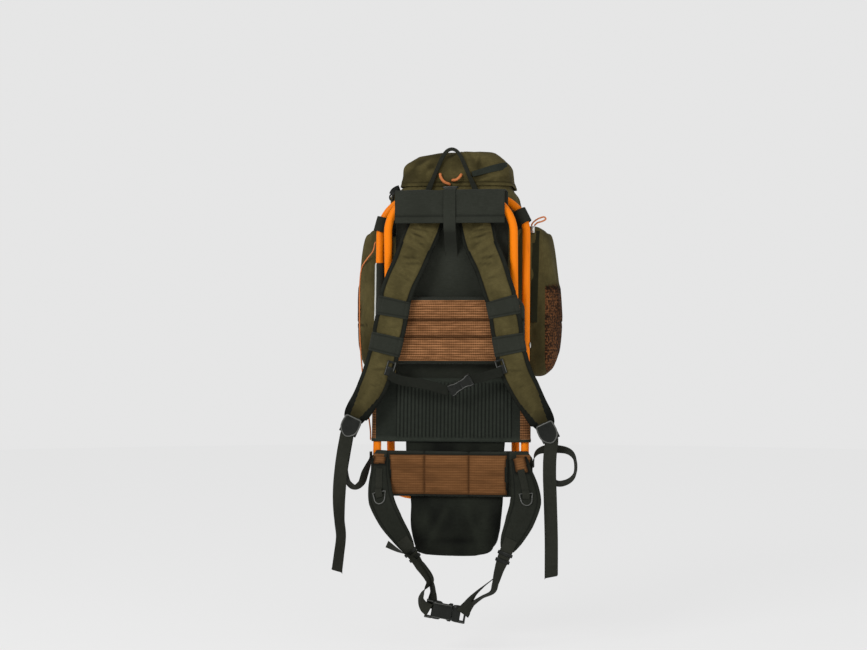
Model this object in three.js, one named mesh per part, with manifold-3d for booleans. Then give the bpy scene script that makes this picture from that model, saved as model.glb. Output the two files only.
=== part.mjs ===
// Chair backpack: a folded scissor stool of two tube loops that carries a rucksack.
// Millimetres, +Z up. The wearer's side faces -Y, and the bag lies behind it on +Y.
// Pieces are laid out from the stool's pivot plane, then moved so that the origin
// is the underside of the haul loop's crown, where the pack hangs.
import * as THREE from 'three';
import { mergeVertices } from 'three/addons/utils/BufferGeometryUtils.js';
import Module from 'manifold-3d';

const wasm = await Module();
wasm.setup();

// Driving dimensions
const GAP = 0.3;
const TUBE_RADIUS = 8;
const TUBE_SIDES = 10;
const BEND_RADIUS = 75;
const BEND_STEPS = 4;
const FRAME_TOP = -92;
const FRAME_BOTTOM = -688;
const FRAME_SPLAY = 27;
const INNER_HALF_WIDTH = 126;
const OUTER_HALF_WIDTH = 148;
const PIN_RADIUS = 3;
const PIN_HEAD_RADIUS = 6;
const PIN_HEAD_HEIGHT = 2.5;

const CLOTH = 2.5;
const WEBBING = 1.6;
const SLING_HALF_WIDTH = 109.5;
const SLING_HEM = -148;
const PANEL_HALF_WIDTH = 113;
const PANEL_HEM = -470;
const PANEL_THICKNESS = 3;

const PAD_HALF_WIDTH = 148;
const PAD_TOP = -294;
const PAD_HEM = -428;
const PAD_BACK = -16.7;
const PAD_THICKNESS = 11;
const PAD_CROWN = 6;
const PAD_SEAMS = [-294, -340, -374, -428];
const PAD_CORNER = 26;

const BAND_TOP = -456;
const BAND_HEM = -582;
const BAND_THICKNESS = 3;
const BAND_RIB_PITCH = 10;
const BAND_RIB_HEIGHT = 1.8;
const BAND_RIBS_FROM = -108;
const BAND_RIBS_TO = 122;

const LUMBAR_TOP = -599;
const LUMBAR_HEM = -688;
const LUMBAR_LEFT = -157;
const LUMBAR_RIGHT = 165;
const LUMBAR_BACK = -45;
const LUMBAR_THICKNESS = 11;
const LUMBAR_CROWN = 6;
const LUMBAR_SEAMS = [-122, -48, 40, 118];
const LUMBAR_TURN_START = 112;
const LUMBAR_TURN_END = 147;

const STRAP_THICKNESS = 12;
const STRAP_BANDS = { upper: [-334, -298], lower: [-408, -369] };
const STRAP_BAND_WALL = 1.8;
const ADJUSTER_WIDTH = 26;
const STERNUM_WIDTH = 19;
const BELT_WIDTH = 25;

const BAG_WALL = 2.5;
const LID_BACK = 44.5;
const HAUL_X = -5;
const HAUL_Y = 41;
const HAUL_CROWN = 5;
const HAUL_BAND = 5.5;
const HAUL_WIDTH = 9.5;

// Colours, roughness and metalness of the finishes
const FINISHES = {
  paint: { color: 0xe08a1c, roughness: 0.35, metalness: 0.0 },
  steel: { color: 0xb9bbb8, roughness: 0.35, metalness: 1.0 },
  black_cloth: { color: 0x33352e, roughness: 0.9, metalness: 0.0 },
  green_cloth: { color: 0x57502f, roughness: 0.9, metalness: 0.0 },
  rust_mesh: { color: 0x7c5533, roughness: 0.95, metalness: 0.0 },
  pocket_mesh: { color: 0x4c2e1a, roughness: 0.95, metalness: 0.0 },
  webbing: { color: 0x2a2b22, roughness: 0.85, metalness: 0.0 },
  plastic: { color: 0x24251f, roughness: 0.4, metalness: 0.0 },
  orange_cord: { color: 0xd9722e, roughness: 0.7, metalness: 0.0 },
};

// Cross sections, in units of half the width and half the thickness
const FLAT = [[-1, -1], [1, -1], [1, 1], [-1, 1]];
const PADDED = [
  [-1, -0.3], [-0.78, -1], [0.78, -1], [1, -0.3], [1, 0.3], [0.72, 1], [0, 1.12], [-0.72, 1], [-1, 0.3],
];
const CROWN = 1.12;
const ROUND = Array.from({ length: 8 }, (_, i) => {
  const angle = (i / 8) * Math.PI * 2;
  return [Math.cos(angle), Math.sin(angle)];
});

// Shared numbers that follow from the driving dimensions
const PIVOT_Z = (FRAME_TOP + FRAME_BOTTOM) / 2;
const HALF_HEIGHT = (FRAME_TOP - FRAME_BOTTOM) / 2;
const FRONT = new THREE.Vector3(0, -1, 0);

const point = (x, y, z) => new THREE.Vector3(x, y, z);
const mix = (a, b, t) => a + (b - a) * t;
const smooth = (value, from, to) => THREE.MathUtils.smoothstep(value, from, to);

// A table with named columns, as a list of row objects.
function table(columns, rows) {
  const names = columns.split(' ');
  return rows.map((row) => Object.fromEntries(names.map((name, i) => [name, row[i]])));
}

// Depth of a leg's centre line at a height: the inner loop leans one way, the outer the other.
const innerY = (z) => (-FRAME_SPLAY * (z - PIVOT_Z)) / HALF_HEIGHT;
const outerY = (z) => (FRAME_SPLAY * (z - PIVOT_Z)) / HALF_HEIGHT;

// Closed geometry from points and triangles, turned so that its faces point out.
function closedGeometry(points, triangles) {
  let volume = 0;
  const normal = new THREE.Vector3();
  for (const [a, b, c] of triangles) {
    volume += points[a].dot(normal.crossVectors(points[b], points[c]));
  }
  const index = triangles.flatMap(([a, b, c]) => (volume > 0 ? [a, b, c] : [a, c, b]));
  const geometry = new THREE.BufferGeometry().setFromPoints(points);
  geometry.setIndex(index);
  return geometry;
}

// A skin over rings of equal count. Joined rings close on the first; others end in fans.
// Opposite faces split along matching diagonals, so that a thin twisted strip doesn't cross itself.
function loft(rings, joined = false) {
  const count = rings[0].length;
  const points = rings.flat();
  const triangles = [];
  const spans = joined ? rings.length : rings.length - 1;
  for (let r = 0; r < spans; r += 1) {
    const near = r * count;
    const far = ((r + 1) % rings.length) * count;
    for (let i = 0; i < count; i += 1) {
      const j = (i + 1) % count;
      if (i < count / 2) triangles.push([near + i, near + j, far + j], [near + i, far + j, far + i]);
      else triangles.push([near + i, near + j, far + i], [near + j, far + j, far + i]);
    }
  }
  if (!joined) {
    for (const [start, flip] of [[0, true], [(rings.length - 1) * count, false]]) {
      const hub = points.length;
      const centre = new THREE.Vector3();
      for (let i = 0; i < count; i += 1) centre.addScaledVector(points[start + i], 1 / count);
      points.push(centre);
      for (let i = 0; i < count; i += 1) {
        const a = start + i;
        const b = start + ((i + 1) % count);
        triangles.push(flip ? [hub, b, a] : [hub, a, b]);
      }
    }
  }
  return closedGeometry(points, triangles);
}

// A plate between two faces: at(u, v, face) gives a point, face +1 in front and -1 behind.
function slab(columns, rows, at) {
  const points = [];
  for (const face of [1, -1]) {
    for (let j = 0; j <= rows; j += 1) {
      for (let i = 0; i <= columns; i += 1) points.push(at(i / columns, j / rows, face));
    }
  }
  const stride = columns + 1;
  const back = stride * (rows + 1);
  const triangles = [];
  for (let j = 0; j < rows; j += 1) {
    for (let i = 0; i < columns; i += 1) {
      const a = j * stride + i;
      const c = a + stride;
      triangles.push([a, a + 1, c + 1], [a, c + 1, c]);
      triangles.push([back + a, back + c + 1, back + a + 1], [back + a, back + c, back + c + 1]);
    }
  }
  const rim = [];
  for (let i = 0; i < columns; i += 1) rim.push(i);
  for (let j = 0; j < rows; j += 1) rim.push(j * stride + columns);
  for (let i = columns; i > 0; i -= 1) rim.push(rows * stride + i);
  for (let j = rows; j > 0; j -= 1) rim.push(j * stride);
  rim.forEach((a, i) => {
    const b = rim[(i + 1) % rim.length];
    triangles.push([a, back + a, back + b], [a, back + b, b]);
  });
  return closedGeometry(points, triangles);
}

// Rows carried as they are: each holds a place, a facing direction, a width and a thickness.
function ringsOf(rows, section) {
  const last = rows.length - 1;
  return rows.map((row, i) => {
    const before = rows[Math.max(i - 1, 0)];
    const after = rows[Math.min(i + 1, last)];
    const along = after.place.clone().sub(before.place).normalize();
    const facing = row.facing.clone().addScaledVector(along, -row.facing.dot(along)).normalize();
    const side = along.clone().cross(facing);
    return section.map(([a, b]) => row.place.clone()
      .addScaledVector(side, (a * row.width) / 2)
      .addScaledVector(facing, (b * row.thick) / 2));
  });
}

// The rows' route as a smooth curve, sampled in even steps.
function smoothRows(rows, steps) {
  const curve = new THREE.CatmullRomCurve3(rows.map((row) => row.place), false, 'centripetal');
  return Array.from({ length: steps + 1 }, (_, i) => {
    const t = i / steps;
    const slot = Math.min(t * (rows.length - 1), rows.length - 1 - 1e-9);
    const a = rows[Math.floor(slot)];
    const b = rows[Math.floor(slot) + 1];
    const share = slot - Math.floor(slot);
    return {
      place: curve.getPoint(t),
      facing: a.facing.clone().lerp(b.facing, share),
      width: mix(a.width, b.width, share),
      thick: mix(a.thick, b.thick, share),
    };
  });
}

const sweep = (rows, section, steps) => loft(ringsOf(smoothRows(rows, steps), section));

// Table rows with x y z, and optional facing fx fy fz, width and thickness, as sweep rows.
function route(rows, { width, thick, facing = FRONT }) {
  return rows.map((row) => ({
    place: point(row.x, row.y, row.z),
    facing: row.fx === undefined ? facing : point(row.fx, row.fy, row.fz),
    width: row.width ?? width,
    thick: row.thick ?? thick,
  }));
}

// Corner points of a rounded rectangle, counter clockwise, the same count for every size.
function roundedRectangle(a0, a1, b0, b1, radius, steps = 3) {
  const corners = [
    [a1 - radius, b1 - radius, 0], [a0 + radius, b1 - radius, 90],
    [a0 + radius, b0 + radius, 180], [a1 - radius, b0 + radius, 270],
  ];
  return corners.flatMap(([a, b, start]) => Array.from({ length: steps + 1 }, (_, i) => {
    const angle = THREE.MathUtils.degToRad(start + (90 * i) / steps);
    return [a + radius * Math.cos(angle), b + radius * Math.sin(angle)];
  }));
}

// A tube of a round section along a curve through the points.
function cordTube(points, diameter, steps) {
  const shape = new THREE.Shape(ROUND.map(([a, b]) => new THREE.Vector2(a, b).multiplyScalar(diameter / 2)));
  const extrudePath = new THREE.CatmullRomCurve3(points, false, 'centripetal');
  return new THREE.ExtrudeGeometry(shape, { steps, bevelEnabled: false, extrudePath });
}

// A flat plate of an outline with holes, centred on its thickness.
function plate(outline, holes, thickness) {
  const toShape = (points, Kind) => new Kind(points.map(([a, b]) => new THREE.Vector2(a, b)));
  const shape = toShape(outline, THREE.Shape);
  shape.holes = holes.map((hole) => toShape(hole, THREE.Path));
  const geometry = new THREE.ExtrudeGeometry(shape, { depth: thickness, bevelEnabled: false });
  return geometry.translate(0, 0, -thickness / 2);
}

// Turns a plate's own axes onto the pack: its length runs along `along`, its face to `facing`.
function setInto(geometry, place, along, facing) {
  const up = along.clone().normalize();
  const out = facing.clone().addScaledVector(up, -facing.dot(up)).normalize();
  const side = up.clone().cross(out);
  const matrix = new THREE.Matrix4().makeBasis(side, up, out).setPosition(place);
  return geometry.applyMatrix4(matrix);
}

// Boolean work on closed geometry
function toSolid(geometry) {
  const bare = geometry.clone();
  bare.deleteAttribute('normal');
  bare.deleteAttribute('uv');
  const merged = mergeVertices(bare, 1e-4);
  return new wasm.Manifold(new wasm.Mesh({
    numProp: 3,
    vertProperties: new Float32Array(merged.attributes.position.array),
    triVerts: new Uint32Array(merged.index.array),
  }));
}

function fromSolid(solid) {
  const mesh = solid.getMesh();
  const geometry = new THREE.BufferGeometry();
  geometry.setAttribute('position', new THREE.BufferAttribute(new Float32Array(mesh.vertProperties), 3));
  geometry.setIndex(new THREE.BufferAttribute(new Uint32Array(mesh.triVerts), 1));
  return geometry;
}

const cut = (a, b) => fromSolid(toSolid(a).subtract(toSolid(b)));
const meet = (a, b) => fromSolid(toSolid(a).intersect(toSolid(b)));

// A box between two corners.
function boxBetween(x0, x1, y0, y1, z0, z1) {
  const box = new THREE.BoxGeometry(x1 - x0, y1 - y0, z1 - z0);
  return box.translate((x0 + x1) / 2, (y0 + y1) / 2, (z0 + z1) / 2);
}

const pack = new THREE.Group();
pack.position.set(-HAUL_X, -HAUL_Y, -(HAUL_CROWN - HAUL_WIDTH / 2));

function add(name, finish, geometry) {
  const mesh = new THREE.Mesh(geometry, new THREE.MeshStandardMaterial(FINISHES[finish]));
  mesh.name = name;
  pack.add(mesh);
}

const SIDES = { left: -1, right: 1 };

// Chair frame: two closed tube loops, crossed at the pivot
function legFrame(halfWidth, depth) {
  const tilt = Math.atan2(depth(FRAME_TOP) - depth(FRAME_BOTTOM), FRAME_TOP - FRAME_BOTTOM);
  const normal = point(0, Math.cos(tilt), -Math.sin(tilt));
  const outline = roundedRectangle(-halfWidth, halfWidth, FRAME_BOTTOM, FRAME_TOP, BEND_RADIUS, BEND_STEPS);
  const rings = outline.map(([x, z], i) => {
    const corner = Math.floor(i / (BEND_STEPS + 1));
    const angle = THREE.MathUtils.degToRad(90 * corner + (90 * (i % (BEND_STEPS + 1))) / BEND_STEPS);
    const rise = Math.sin(angle);
    const outward = point(Math.cos(angle), Math.sin(tilt) * rise, Math.cos(tilt) * rise);
    return Array.from({ length: TUBE_SIDES }, (_, k) => {
      const turn = (k / TUBE_SIDES) * Math.PI * 2;
      return point(x, depth(z), z)
        .addScaledVector(outward, TUBE_RADIUS * Math.cos(turn))
        .addScaledVector(normal, TUBE_RADIUS * Math.sin(turn));
    });
  });
  return loft(rings, true);
}

// A turned piece on the pivot axis, from half-profile pairs of radius and distance along X.
function turnedOnX(profile, side) {
  const lathe = new THREE.LatheGeometry(profile.map(([r, x]) => new THREE.Vector2(r, x)), TUBE_SIDES);
  return lathe.rotateZ(-side * Math.PI / 2).translate(0, 0, PIVOT_Z);
}

function pivotPin(side) {
  const inside = INNER_HALF_WIDTH - TUBE_RADIUS - GAP;
  const outside = OUTER_HALF_WIDTH + TUBE_RADIUS + GAP;
  return turnedOnX([
    [0, inside - PIN_HEAD_HEIGHT], [PIN_HEAD_RADIUS, inside - PIN_HEAD_HEIGHT], [PIN_HEAD_RADIUS, inside],
    [PIN_RADIUS, inside], [PIN_RADIUS, outside], [PIN_HEAD_RADIUS, outside],
    [PIN_HEAD_RADIUS, outside + PIN_HEAD_HEIGHT], [0, outside + PIN_HEAD_HEIGHT],
  ], side);
}

function pivotBore(side) {
  const reach = OUTER_HALF_WIDTH + TUBE_RADIUS * 2;
  const radius = PIN_RADIUS + GAP;
  const start = INNER_HALF_WIDTH - TUBE_RADIUS * 2;
  return turnedOnX([[0, start], [radius, start], [radius, reach], [0, reach]], side);
}

for (const [name, halfWidth, depth] of [
  ['inner_leg_frame', INNER_HALF_WIDTH, innerY], ['outer_leg_frame', OUTER_HALF_WIDTH, outerY],
]) {
  const drilled = cut(cut(legFrame(halfWidth, depth), pivotBore(SIDES.left)), pivotBore(SIDES.right));
  add(name, 'paint', drilled);
}
for (const [name, side] of Object.entries(SIDES)) add(`pivot_pin_${name}`, 'steel', pivotPin(side));

// Seat sling: an apron of cloth over both top bars, open below
function seatSling() {
  const radius = TUBE_RADIUS + GAP + CLOTH / 2;
  const rows = [];
  const lay = (y, z, turn) => rows.push({
    place: point(0, y, z),
    facing: point(0, Math.cos(turn), Math.sin(turn)),
    width: SLING_HALF_WIDTH * 2,
    thick: CLOTH,
  });
  const face = FRAME_SPLAY + radius;
  lay(-face, SLING_HEM, Math.PI);
  for (let i = 0; i <= BEND_STEPS; i += 1) {
    const turn = Math.PI - (i / BEND_STEPS) * (Math.PI / 2);
    lay(-FRAME_SPLAY + radius * Math.cos(turn), FRAME_TOP + radius * Math.sin(turn), turn);
  }
  for (let i = 0; i <= BEND_STEPS; i += 1) {
    const turn = Math.PI / 2 - (i / BEND_STEPS) * (Math.PI / 2);
    lay(FRAME_SPLAY + radius * Math.cos(turn), FRAME_TOP + radius * Math.sin(turn), turn);
  }
  lay(face, SLING_HEM, 0);
  return loft(ringsOf(rows, FLAT));
}
add('seat_sling', 'black_cloth', seatSling());

// Back panel: a cloth sheet that hangs between the bars, from the sling's underside
const PANEL_TOP = FRAME_TOP + TUBE_RADIUS;
add('back_panel', 'black_cloth', boxBetween(
  -PANEL_HALF_WIDTH, PANEL_HALF_WIDTH, -PANEL_THICKNESS / 2, PANEL_THICKNESS / 2, PANEL_HEM, PANEL_TOP,
));

// Yoke strap: webbing from the top of the sling, down its face and onto the panel
const SLING_FACE = FRAME_SPLAY + TUBE_RADIUS + GAP + CLOTH;
const SLING_CROWN = FRAME_TOP + TUBE_RADIUS + GAP + CLOTH;
const YOKE_WIDTH = 24;
const YOKE_LIFT = GAP * 2 + WEBBING / 2;
const YOKE = table('y z fy fz', [
  [-8, SLING_CROWN + YOKE_LIFT, 0, 1],
  [-FRAME_SPLAY, SLING_CROWN + YOKE_LIFT, 0, 1],
  [-FRAME_SPLAY - 9, SLING_CROWN - 1.8, -0.7, 0.7],
  [-SLING_FACE - YOKE_LIFT, FRAME_TOP, -1, 0],
  [-SLING_FACE - YOKE_LIFT, SLING_HEM, -1, 0],
  [-SLING_FACE + 3, SLING_HEM - 14, -0.85, -0.5],
  [-18, SLING_HEM - 44, -0.9, -0.45],
  [-PANEL_THICKNESS / 2 - YOKE_LIFT * 1.6, SLING_HEM - 84, -1, -0.1],
  [-PANEL_THICKNESS / 2 - YOKE_LIFT, SLING_HEM - 100, -1, 0],
]);
const yokeRows = YOKE.map((row) => ({ x: 0, fx: 0, ...row }));
add('yoke_strap', 'webbing', sweep(route(yokeRows, { width: YOKE_WIDTH, thick: WEBBING }), FLAT, 20));

const YOKE_BUCKLE = { half: 16, depth: 9, height: 3.4, y: -20, bottom: SLING_CROWN + YOKE_LIFT + WEBBING };
add('yoke_buckle', 'plastic', boxBetween(
  -YOKE_BUCKLE.half, YOKE_BUCKLE.half,
  YOKE_BUCKLE.y - YOKE_BUCKLE.depth / 2, YOKE_BUCKLE.y + YOKE_BUCKLE.depth / 2,
  YOKE_BUCKLE.bottom, YOKE_BUCKLE.bottom + YOKE_BUCKLE.height,
));

// Back pad: three padded ribs on a backing that lies on the legs
function roundedHalfWidth(halfWidth, z, top, hem, corner) {
  const inset = Math.max(corner - (top - z), corner - (z - hem), 0);
  return halfWidth - corner + Math.sqrt(Math.max(corner * corner - inset * inset, 0));
}

// Swell of a quilted face between neighbouring seams, 1 in the middle and 0 at a seam.
function quilt(value, seams) {
  const sorted = [...seams].sort((a, b) => a - b);
  const k = sorted.findIndex((seam, i) => i + 1 < sorted.length && value >= seam && value <= sorted[i + 1]);
  if (k < 0) return 0;
  const share = (value - sorted[k]) / (sorted[k + 1] - sorted[k]);
  return Math.sqrt(Math.max(1 - (2 * share - 1) ** 2, 0));
}

add('back_pad', 'rust_mesh', slab(6, 15, (u, v, face) => {
  const z = mix(PAD_TOP, PAD_HEM, v);
  const half = roundedHalfWidth(PAD_HALF_WIDTH, z, PAD_TOP, PAD_HEM, PAD_CORNER);
  const x = mix(-half, half, u);
  const edge = Math.min(smooth(0.5 - Math.abs(u - 0.5), 0, 0.06) + 0.35, 1);
  const swell = PAD_THICKNESS * edge + PAD_CROWN * edge * quilt(z, PAD_SEAMS);
  return point(x, face > 0 ? PAD_BACK - swell : PAD_BACK, z);
}));

// Ribbed band: stretched over the front of the outer legs and hooked round them
function ribBand() {
  const radius = TUBE_RADIUS + GAP + BAND_THICKNESS / 2;
  const hook = THREE.MathUtils.degToRad(165);
  const hookSteps = 6;
  const path = [];
  for (let i = 0; i <= hookSteps; i += 1) {
    const turn = THREE.MathUtils.degToRad(270) - hook + (hook * i) / hookSteps;
    path.push([-OUTER_HALF_WIDTH + radius * Math.cos(turn), radius * Math.sin(turn), turn, 0]);
  }
  const ribs = Math.round((BAND_RIBS_TO - BAND_RIBS_FROM) / BAND_RIB_PITCH);
  for (let i = 0; i < ribs; i += 1) {
    for (const [share, lift] of [[0, 0], [0.55, 1]]) {
      path.push([BAND_RIBS_FROM + (i + share) * BAND_RIB_PITCH, -radius, -Math.PI / 2, lift]);
    }
  }
  for (let i = 0; i <= hookSteps; i += 1) {
    const turn = THREE.MathUtils.degToRad(-90) + (hook * i) / hookSteps;
    path.push([OUTER_HALF_WIDTH + radius * Math.cos(turn), radius * Math.sin(turn), turn, 0]);
  }
  return slab(path.length - 1, 1, (u, v, face) => {
    const [x, y, turn, lift] = path[Math.round(u * (path.length - 1))];
    const z = mix(BAND_TOP, BAND_HEM, v);
    const offset = face > 0 ? BAND_THICKNESS / 2 + lift * BAND_RIB_HEIGHT : -BAND_THICKNESS / 2;
    return point(x + offset * Math.cos(turn), outerY(z) + y + offset * Math.sin(turn), z);
  });
}
add('rib_band', 'black_cloth', ribBand());

// Lumbar pad: three padded panels, with ends that turn back onto the outer legs
function lumbarPad(grow = 0) {
  return slab(20, 5, (u, v, face) => {
    const x = mix(LUMBAR_LEFT, LUMBAR_RIGHT, u);
    const z = mix(LUMBAR_TOP, LUMBAR_HEM, v);
    const turn = smooth(Math.abs(x), LUMBAR_TURN_START, LUMBAR_TURN_END);
    const behind = mix(LUMBAR_BACK, outerY(z) - TUBE_RADIUS - GAP * 2, turn);
    const edge = 0.45 + 0.55 * Math.sqrt(Math.max(1 - (2 * v - 1) ** 4, 0));
    const swell = LUMBAR_THICKNESS * edge + LUMBAR_CROWN * edge * quilt(x, LUMBAR_SEAMS);
    return point(x, face > 0 ? behind - swell - grow : behind + grow, z);
  });
}
add('lumbar_pad', 'rust_mesh', lumbarPad());

// Shoulder straps: padded, from the top of the panel out to the ladder locks
const STRAPS = {
  left: table('x y z width', [
    [-42, -8.2, -118, 58], [-46, -9, -136, 64], [-54, -14, -156, 70], [-67, -24, -190, 70],
    [-82, -34, -231, 68], [-98, -42, -267, 66], [-108, -46, -300, 66], [-114, -48, -336, 66],
    [-121, -49, -370, 66], [-130, -50, -409, 64], [-139, -52, -439, 62], [-153, -54, -475, 60],
    [-167, -55, -500, 54], [-179, -55, -519, 46], [-186, -54.5, -530, 38],
  ]),
  right: table('x y z width', [
    [42, -8.2, -118, 58], [46, -9, -136, 64], [53, -14, -158, 70], [62, -24, -191, 68],
    [80, -34, -231, 66], [94, -42, -271, 64], [104, -46, -301, 64], [112, -48, -340, 64],
    [118, -49, -379, 64], [126, -50, -419, 64], [136, -52, -448, 62], [151, -54, -477, 60],
    [168, -55, -508, 54], [180, -55, -529, 46], [186.5, -54.5, -540, 38],
  ]),
};
const STRAP_STEPS = 17;

// A strap's padded body, grown all round by a wall.
function strapBody(name, wall = 0) {
  const rows = route(STRAPS[name], { thick: STRAP_THICKNESS }).map((row) => ({
    ...row, width: row.width + wall * 2, thick: row.thick + wall * 2,
  }));
  return sweep(rows, PADDED, STRAP_STEPS);
}

for (const name of Object.keys(SIDES)) {
  add(`shoulder_strap_${name}`, 'green_cloth', strapBody(name));
  const sleeve = cut(strapBody(name, STRAP_BAND_WALL + GAP), strapBody(name, GAP));
  for (const [level, [z0, z1]] of Object.entries(STRAP_BANDS)) {
    const slice = boxBetween(-OUTER_HALF_WIDTH * 2, OUTER_HALF_WIDTH * 2, -100, 0, z0, z1);
    add(`strap_band_${level}_${name}`, 'black_cloth', meet(sleeve, slice));
  }
}

// Ladder locks: a plate with an upper bar for the strap's tab and a middle bar for the webbing
const LOCK = { half: 18, length: 29, thickness: 5, rim: 4.2, from: 10.5 };
const LOCK_BARS = table('from to', [[10.5, 14.5], [23, 29.5], [35.5, 39.5]]);
const LOCK_AXES = { left: point(-0.42, 0, -0.907), right: point(0.43, 0, -0.903) };
const TURN_STEPS = 6;
const ADJUSTER_STEPS = { tail: 12, anchor: 18 };

function strapEnd(name) {
  const end = STRAPS[name][STRAPS[name].length - 1];
  return point(end.x, end.y, end.z);
}

function ladderLock(name) {
  const slots = [0, 1].map((i) => roundedRectangle(
    -LOCK.half + LOCK.rim, LOCK.half - LOCK.rim, LOCK_BARS[i].to, LOCK_BARS[i + 1].from, 1.2, 2,
  ).reverse());
  const outline = roundedRectangle(-LOCK.half, LOCK.half, LOCK.from, LOCK.from + LOCK.length, 5, 3);
  return setInto(plate(outline, slots, LOCK.thickness), strapEnd(name), LOCK_AXES[name], FRONT);
}

// A point beside a lock: `s` along its axis from the strap's end, `h` in front of its plane.
function besideLock(name, s, h) {
  return strapEnd(name).addScaledVector(LOCK_AXES[name], s).addScaledVector(FRONT, h);
}

// A half turn of webbing round a bar, from in front to behind it.
function turnRound(name, centre, radius, steps, away) {
  return Array.from({ length: steps + 1 }, (_, i) => {
    const turn = (i / steps) * Math.PI;
    const place = besideLock(name, centre + away * radius * Math.sin(turn), radius * Math.cos(turn));
    const facing = LOCK_AXES[name].clone().multiplyScalar(away * Math.sin(turn))
      .addScaledVector(FRONT, Math.cos(turn));
    return { place, facing, width: ADJUSTER_WIDTH, thick: WEBBING };
  });
}

const LOCK_BAR_HALF = (LOCK_BARS[0].to - LOCK_BARS[0].from) / 2;
const LOCK_TURN = Math.hypot(LOCK_BAR_HALF, LOCK.thickness / 2) + GAP + WEBBING / 2;
function lockTab(name) {
  const bar = (LOCK_BARS[0].from + LOCK_BARS[0].to) / 2;
  const start = 2.5;
  const straight = (h) => ({
    place: besideLock(name, start, h),
    facing: FRONT.clone().multiplyScalar(Math.sign(h)),
    width: ADJUSTER_WIDTH,
    thick: WEBBING,
  });
  return loft(ringsOf([
    straight(LOCK_TURN), ...turnRound(name, bar, LOCK_TURN, TURN_STEPS, 1), straight(-LOCK_TURN),
  ], FLAT));
}

// Adjusters: one webbing each, from its free tail up over the lock's middle bar and back to the leg
const ADJUSTER_TAILS = {
  left: table('x y z fx fy fz', [
    [-222, -62, -838, -0.1, -1, 0.1], [-218, -61, -806, 0.1, -1, 0], [-214, -60, -768, 0.55, -0.83, 0],
    [-219, -60, -737, 0.3, -0.95, 0], [-222, -60, -697, -0.1, -1, 0], [-217, -61, -647, -0.2, -1, 0],
    [-210, -62, -607, -0.1, -1, 0],
  ]),
  right: table('x y z fx fy fz', [
    [203, -63, -842, 0, -1, 0], [203, -62, -769, 0, -1, 0], [201, -61, -692, 0, -1, 0],
    [199.5, -61, -640, 0, -1, 0], [200.5, -62, -606, 0, -1, 0],
  ]),
};
const ADJUSTER_ANCHORS = {
  left: table('x y z fx fy fz', [
    [-208, -49, -606, -0.4, -0.9, 0], [-209, -47, -638, -0.75, -0.6, -0.2],
    [-203, -45, -662, -0.5, -0.5, -0.7], [-190, -42, -673, 0.1, -0.4, -0.9],
    [-177, -39, -665, 0.6, -0.4, -0.6], [-170, -36, -645, 0.85, -0.4, -0.2],
    [-163.5, -34, -628, 0.95, -0.2, -0.1], [-158.6, -33.5, -614, 1, 0, 0], [-158.4, -33, -602, 1, 0, 0],
  ]),
  right: table('x y z fx fy fz', [
    [199, -48, -606, -0.3, -0.95, 0], [198, -45, -636, -0.85, -0.5, 0], [203, -45, -654, -0.66, -0.5, -0.54],
    [216, -45, -661, 0, -0.5, -0.85], [235, -45, -655, 0.46, -0.5, -0.71], [247, -44, -639, 0.85, -0.5, -0.2],
    [247, -42, -618, 0.85, -0.5, 0.2], [235, -37, -600, 0.46, -0.5, 0.71], [213, -32, -594, 0, -0.5, 0.85],
    [187, -31, -595, 0, -0.5, 0.85], [173, -34, -602, -0.6, -0.3, 0.7], [166.8, -36, -615, -1, 0, 0.1],
    [166.4, -36, -630, -1, 0, 0],
  ]),
};

// The same row with its other face in front.
const flipped = (row) => ({ ...row, facing: row.facing.clone().negate() });

function adjuster(name) {
  const size = { width: ADJUSTER_WIDTH, thick: WEBBING };
  const bar = LOCK_BARS[1].from + LOCK_BAR_HALF;
  const below = LOCK.from + LOCK.length + GAP * 2;
  const near = (h) => ({ place: besideLock(name, below, h), facing: FRONT, ...size });
  const tail = smoothRows([...route(ADJUSTER_TAILS[name], size), near(LOCK_TURN)], ADJUSTER_STEPS.tail);
  const rest = smoothRows([near(-LOCK_TURN), ...route(ADJUSTER_ANCHORS[name], size)], ADJUSTER_STEPS.anchor);
  const over = turnRound(name, bar, LOCK_TURN, TURN_STEPS, -1);
  return loft(ringsOf([...tail, ...over, ...rest.map(flipped)], FLAT));
}

for (const name of Object.keys(SIDES)) {
  add(`ladder_lock_${name}`, 'plastic', ladderLock(name));
  add(`lock_tab_${name}`, 'webbing', lockTab(name));
  add(`adjuster_${name}`, 'webbing', adjuster(name));
}

// Sternum strap: a slider on each strap, two webbings and a small buckle
const STERNUM_SLIDERS = {
  left: { place: point(-115, -60.4, -436), along: point(0.3, 0, 1) },
  right: { place: point(104, -60.2, -432), along: point(-0.34, 0, 1) },
};
const SLIDER = { half: 9, length: 30, thickness: 3, slotHalf: 5.5, slotFrom: 3, slotTo: 11 };
const STERNUM = {
  left: table('x y z', [[-117, -63.2, -448], [-97, -63, -458], [-46, -63.3, -466], [-2.4, -63.5, -472]]),
  right: table('x y z', [[51.2, -63.5, -461.5], [73, -63.2, -457], [107, -63, -444]]),
};
const STERNUM_BUCKLE = {
  length: 50, half: 13, thickness: 8, waist: 3, place: point(26, -63.5, -466.8), along: point(0.975, 0, 0.2),
};
const STERNUM_STEPS = 8;

for (const name of Object.keys(SIDES)) {
  const { place, along } = STERNUM_SLIDERS[name];
  const { half, length, thickness, slotHalf, slotFrom, slotTo } = SLIDER;
  const slot = roundedRectangle(-slotHalf, slotHalf, slotFrom, slotTo, 1, 2).reverse();
  const outline = roundedRectangle(-half, half, -length / 2, length / 2, 3, 2);
  add(`sternum_slider_${name}`, 'plastic', setInto(plate(outline, [slot], thickness), place, along, FRONT));
  const rows = route(STERNUM[name], { width: STERNUM_WIDTH, thick: WEBBING });
  add(`sternum_webbing_${name}`, 'webbing', sweep(rows, FLAT, STERNUM_STEPS));
}

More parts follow.
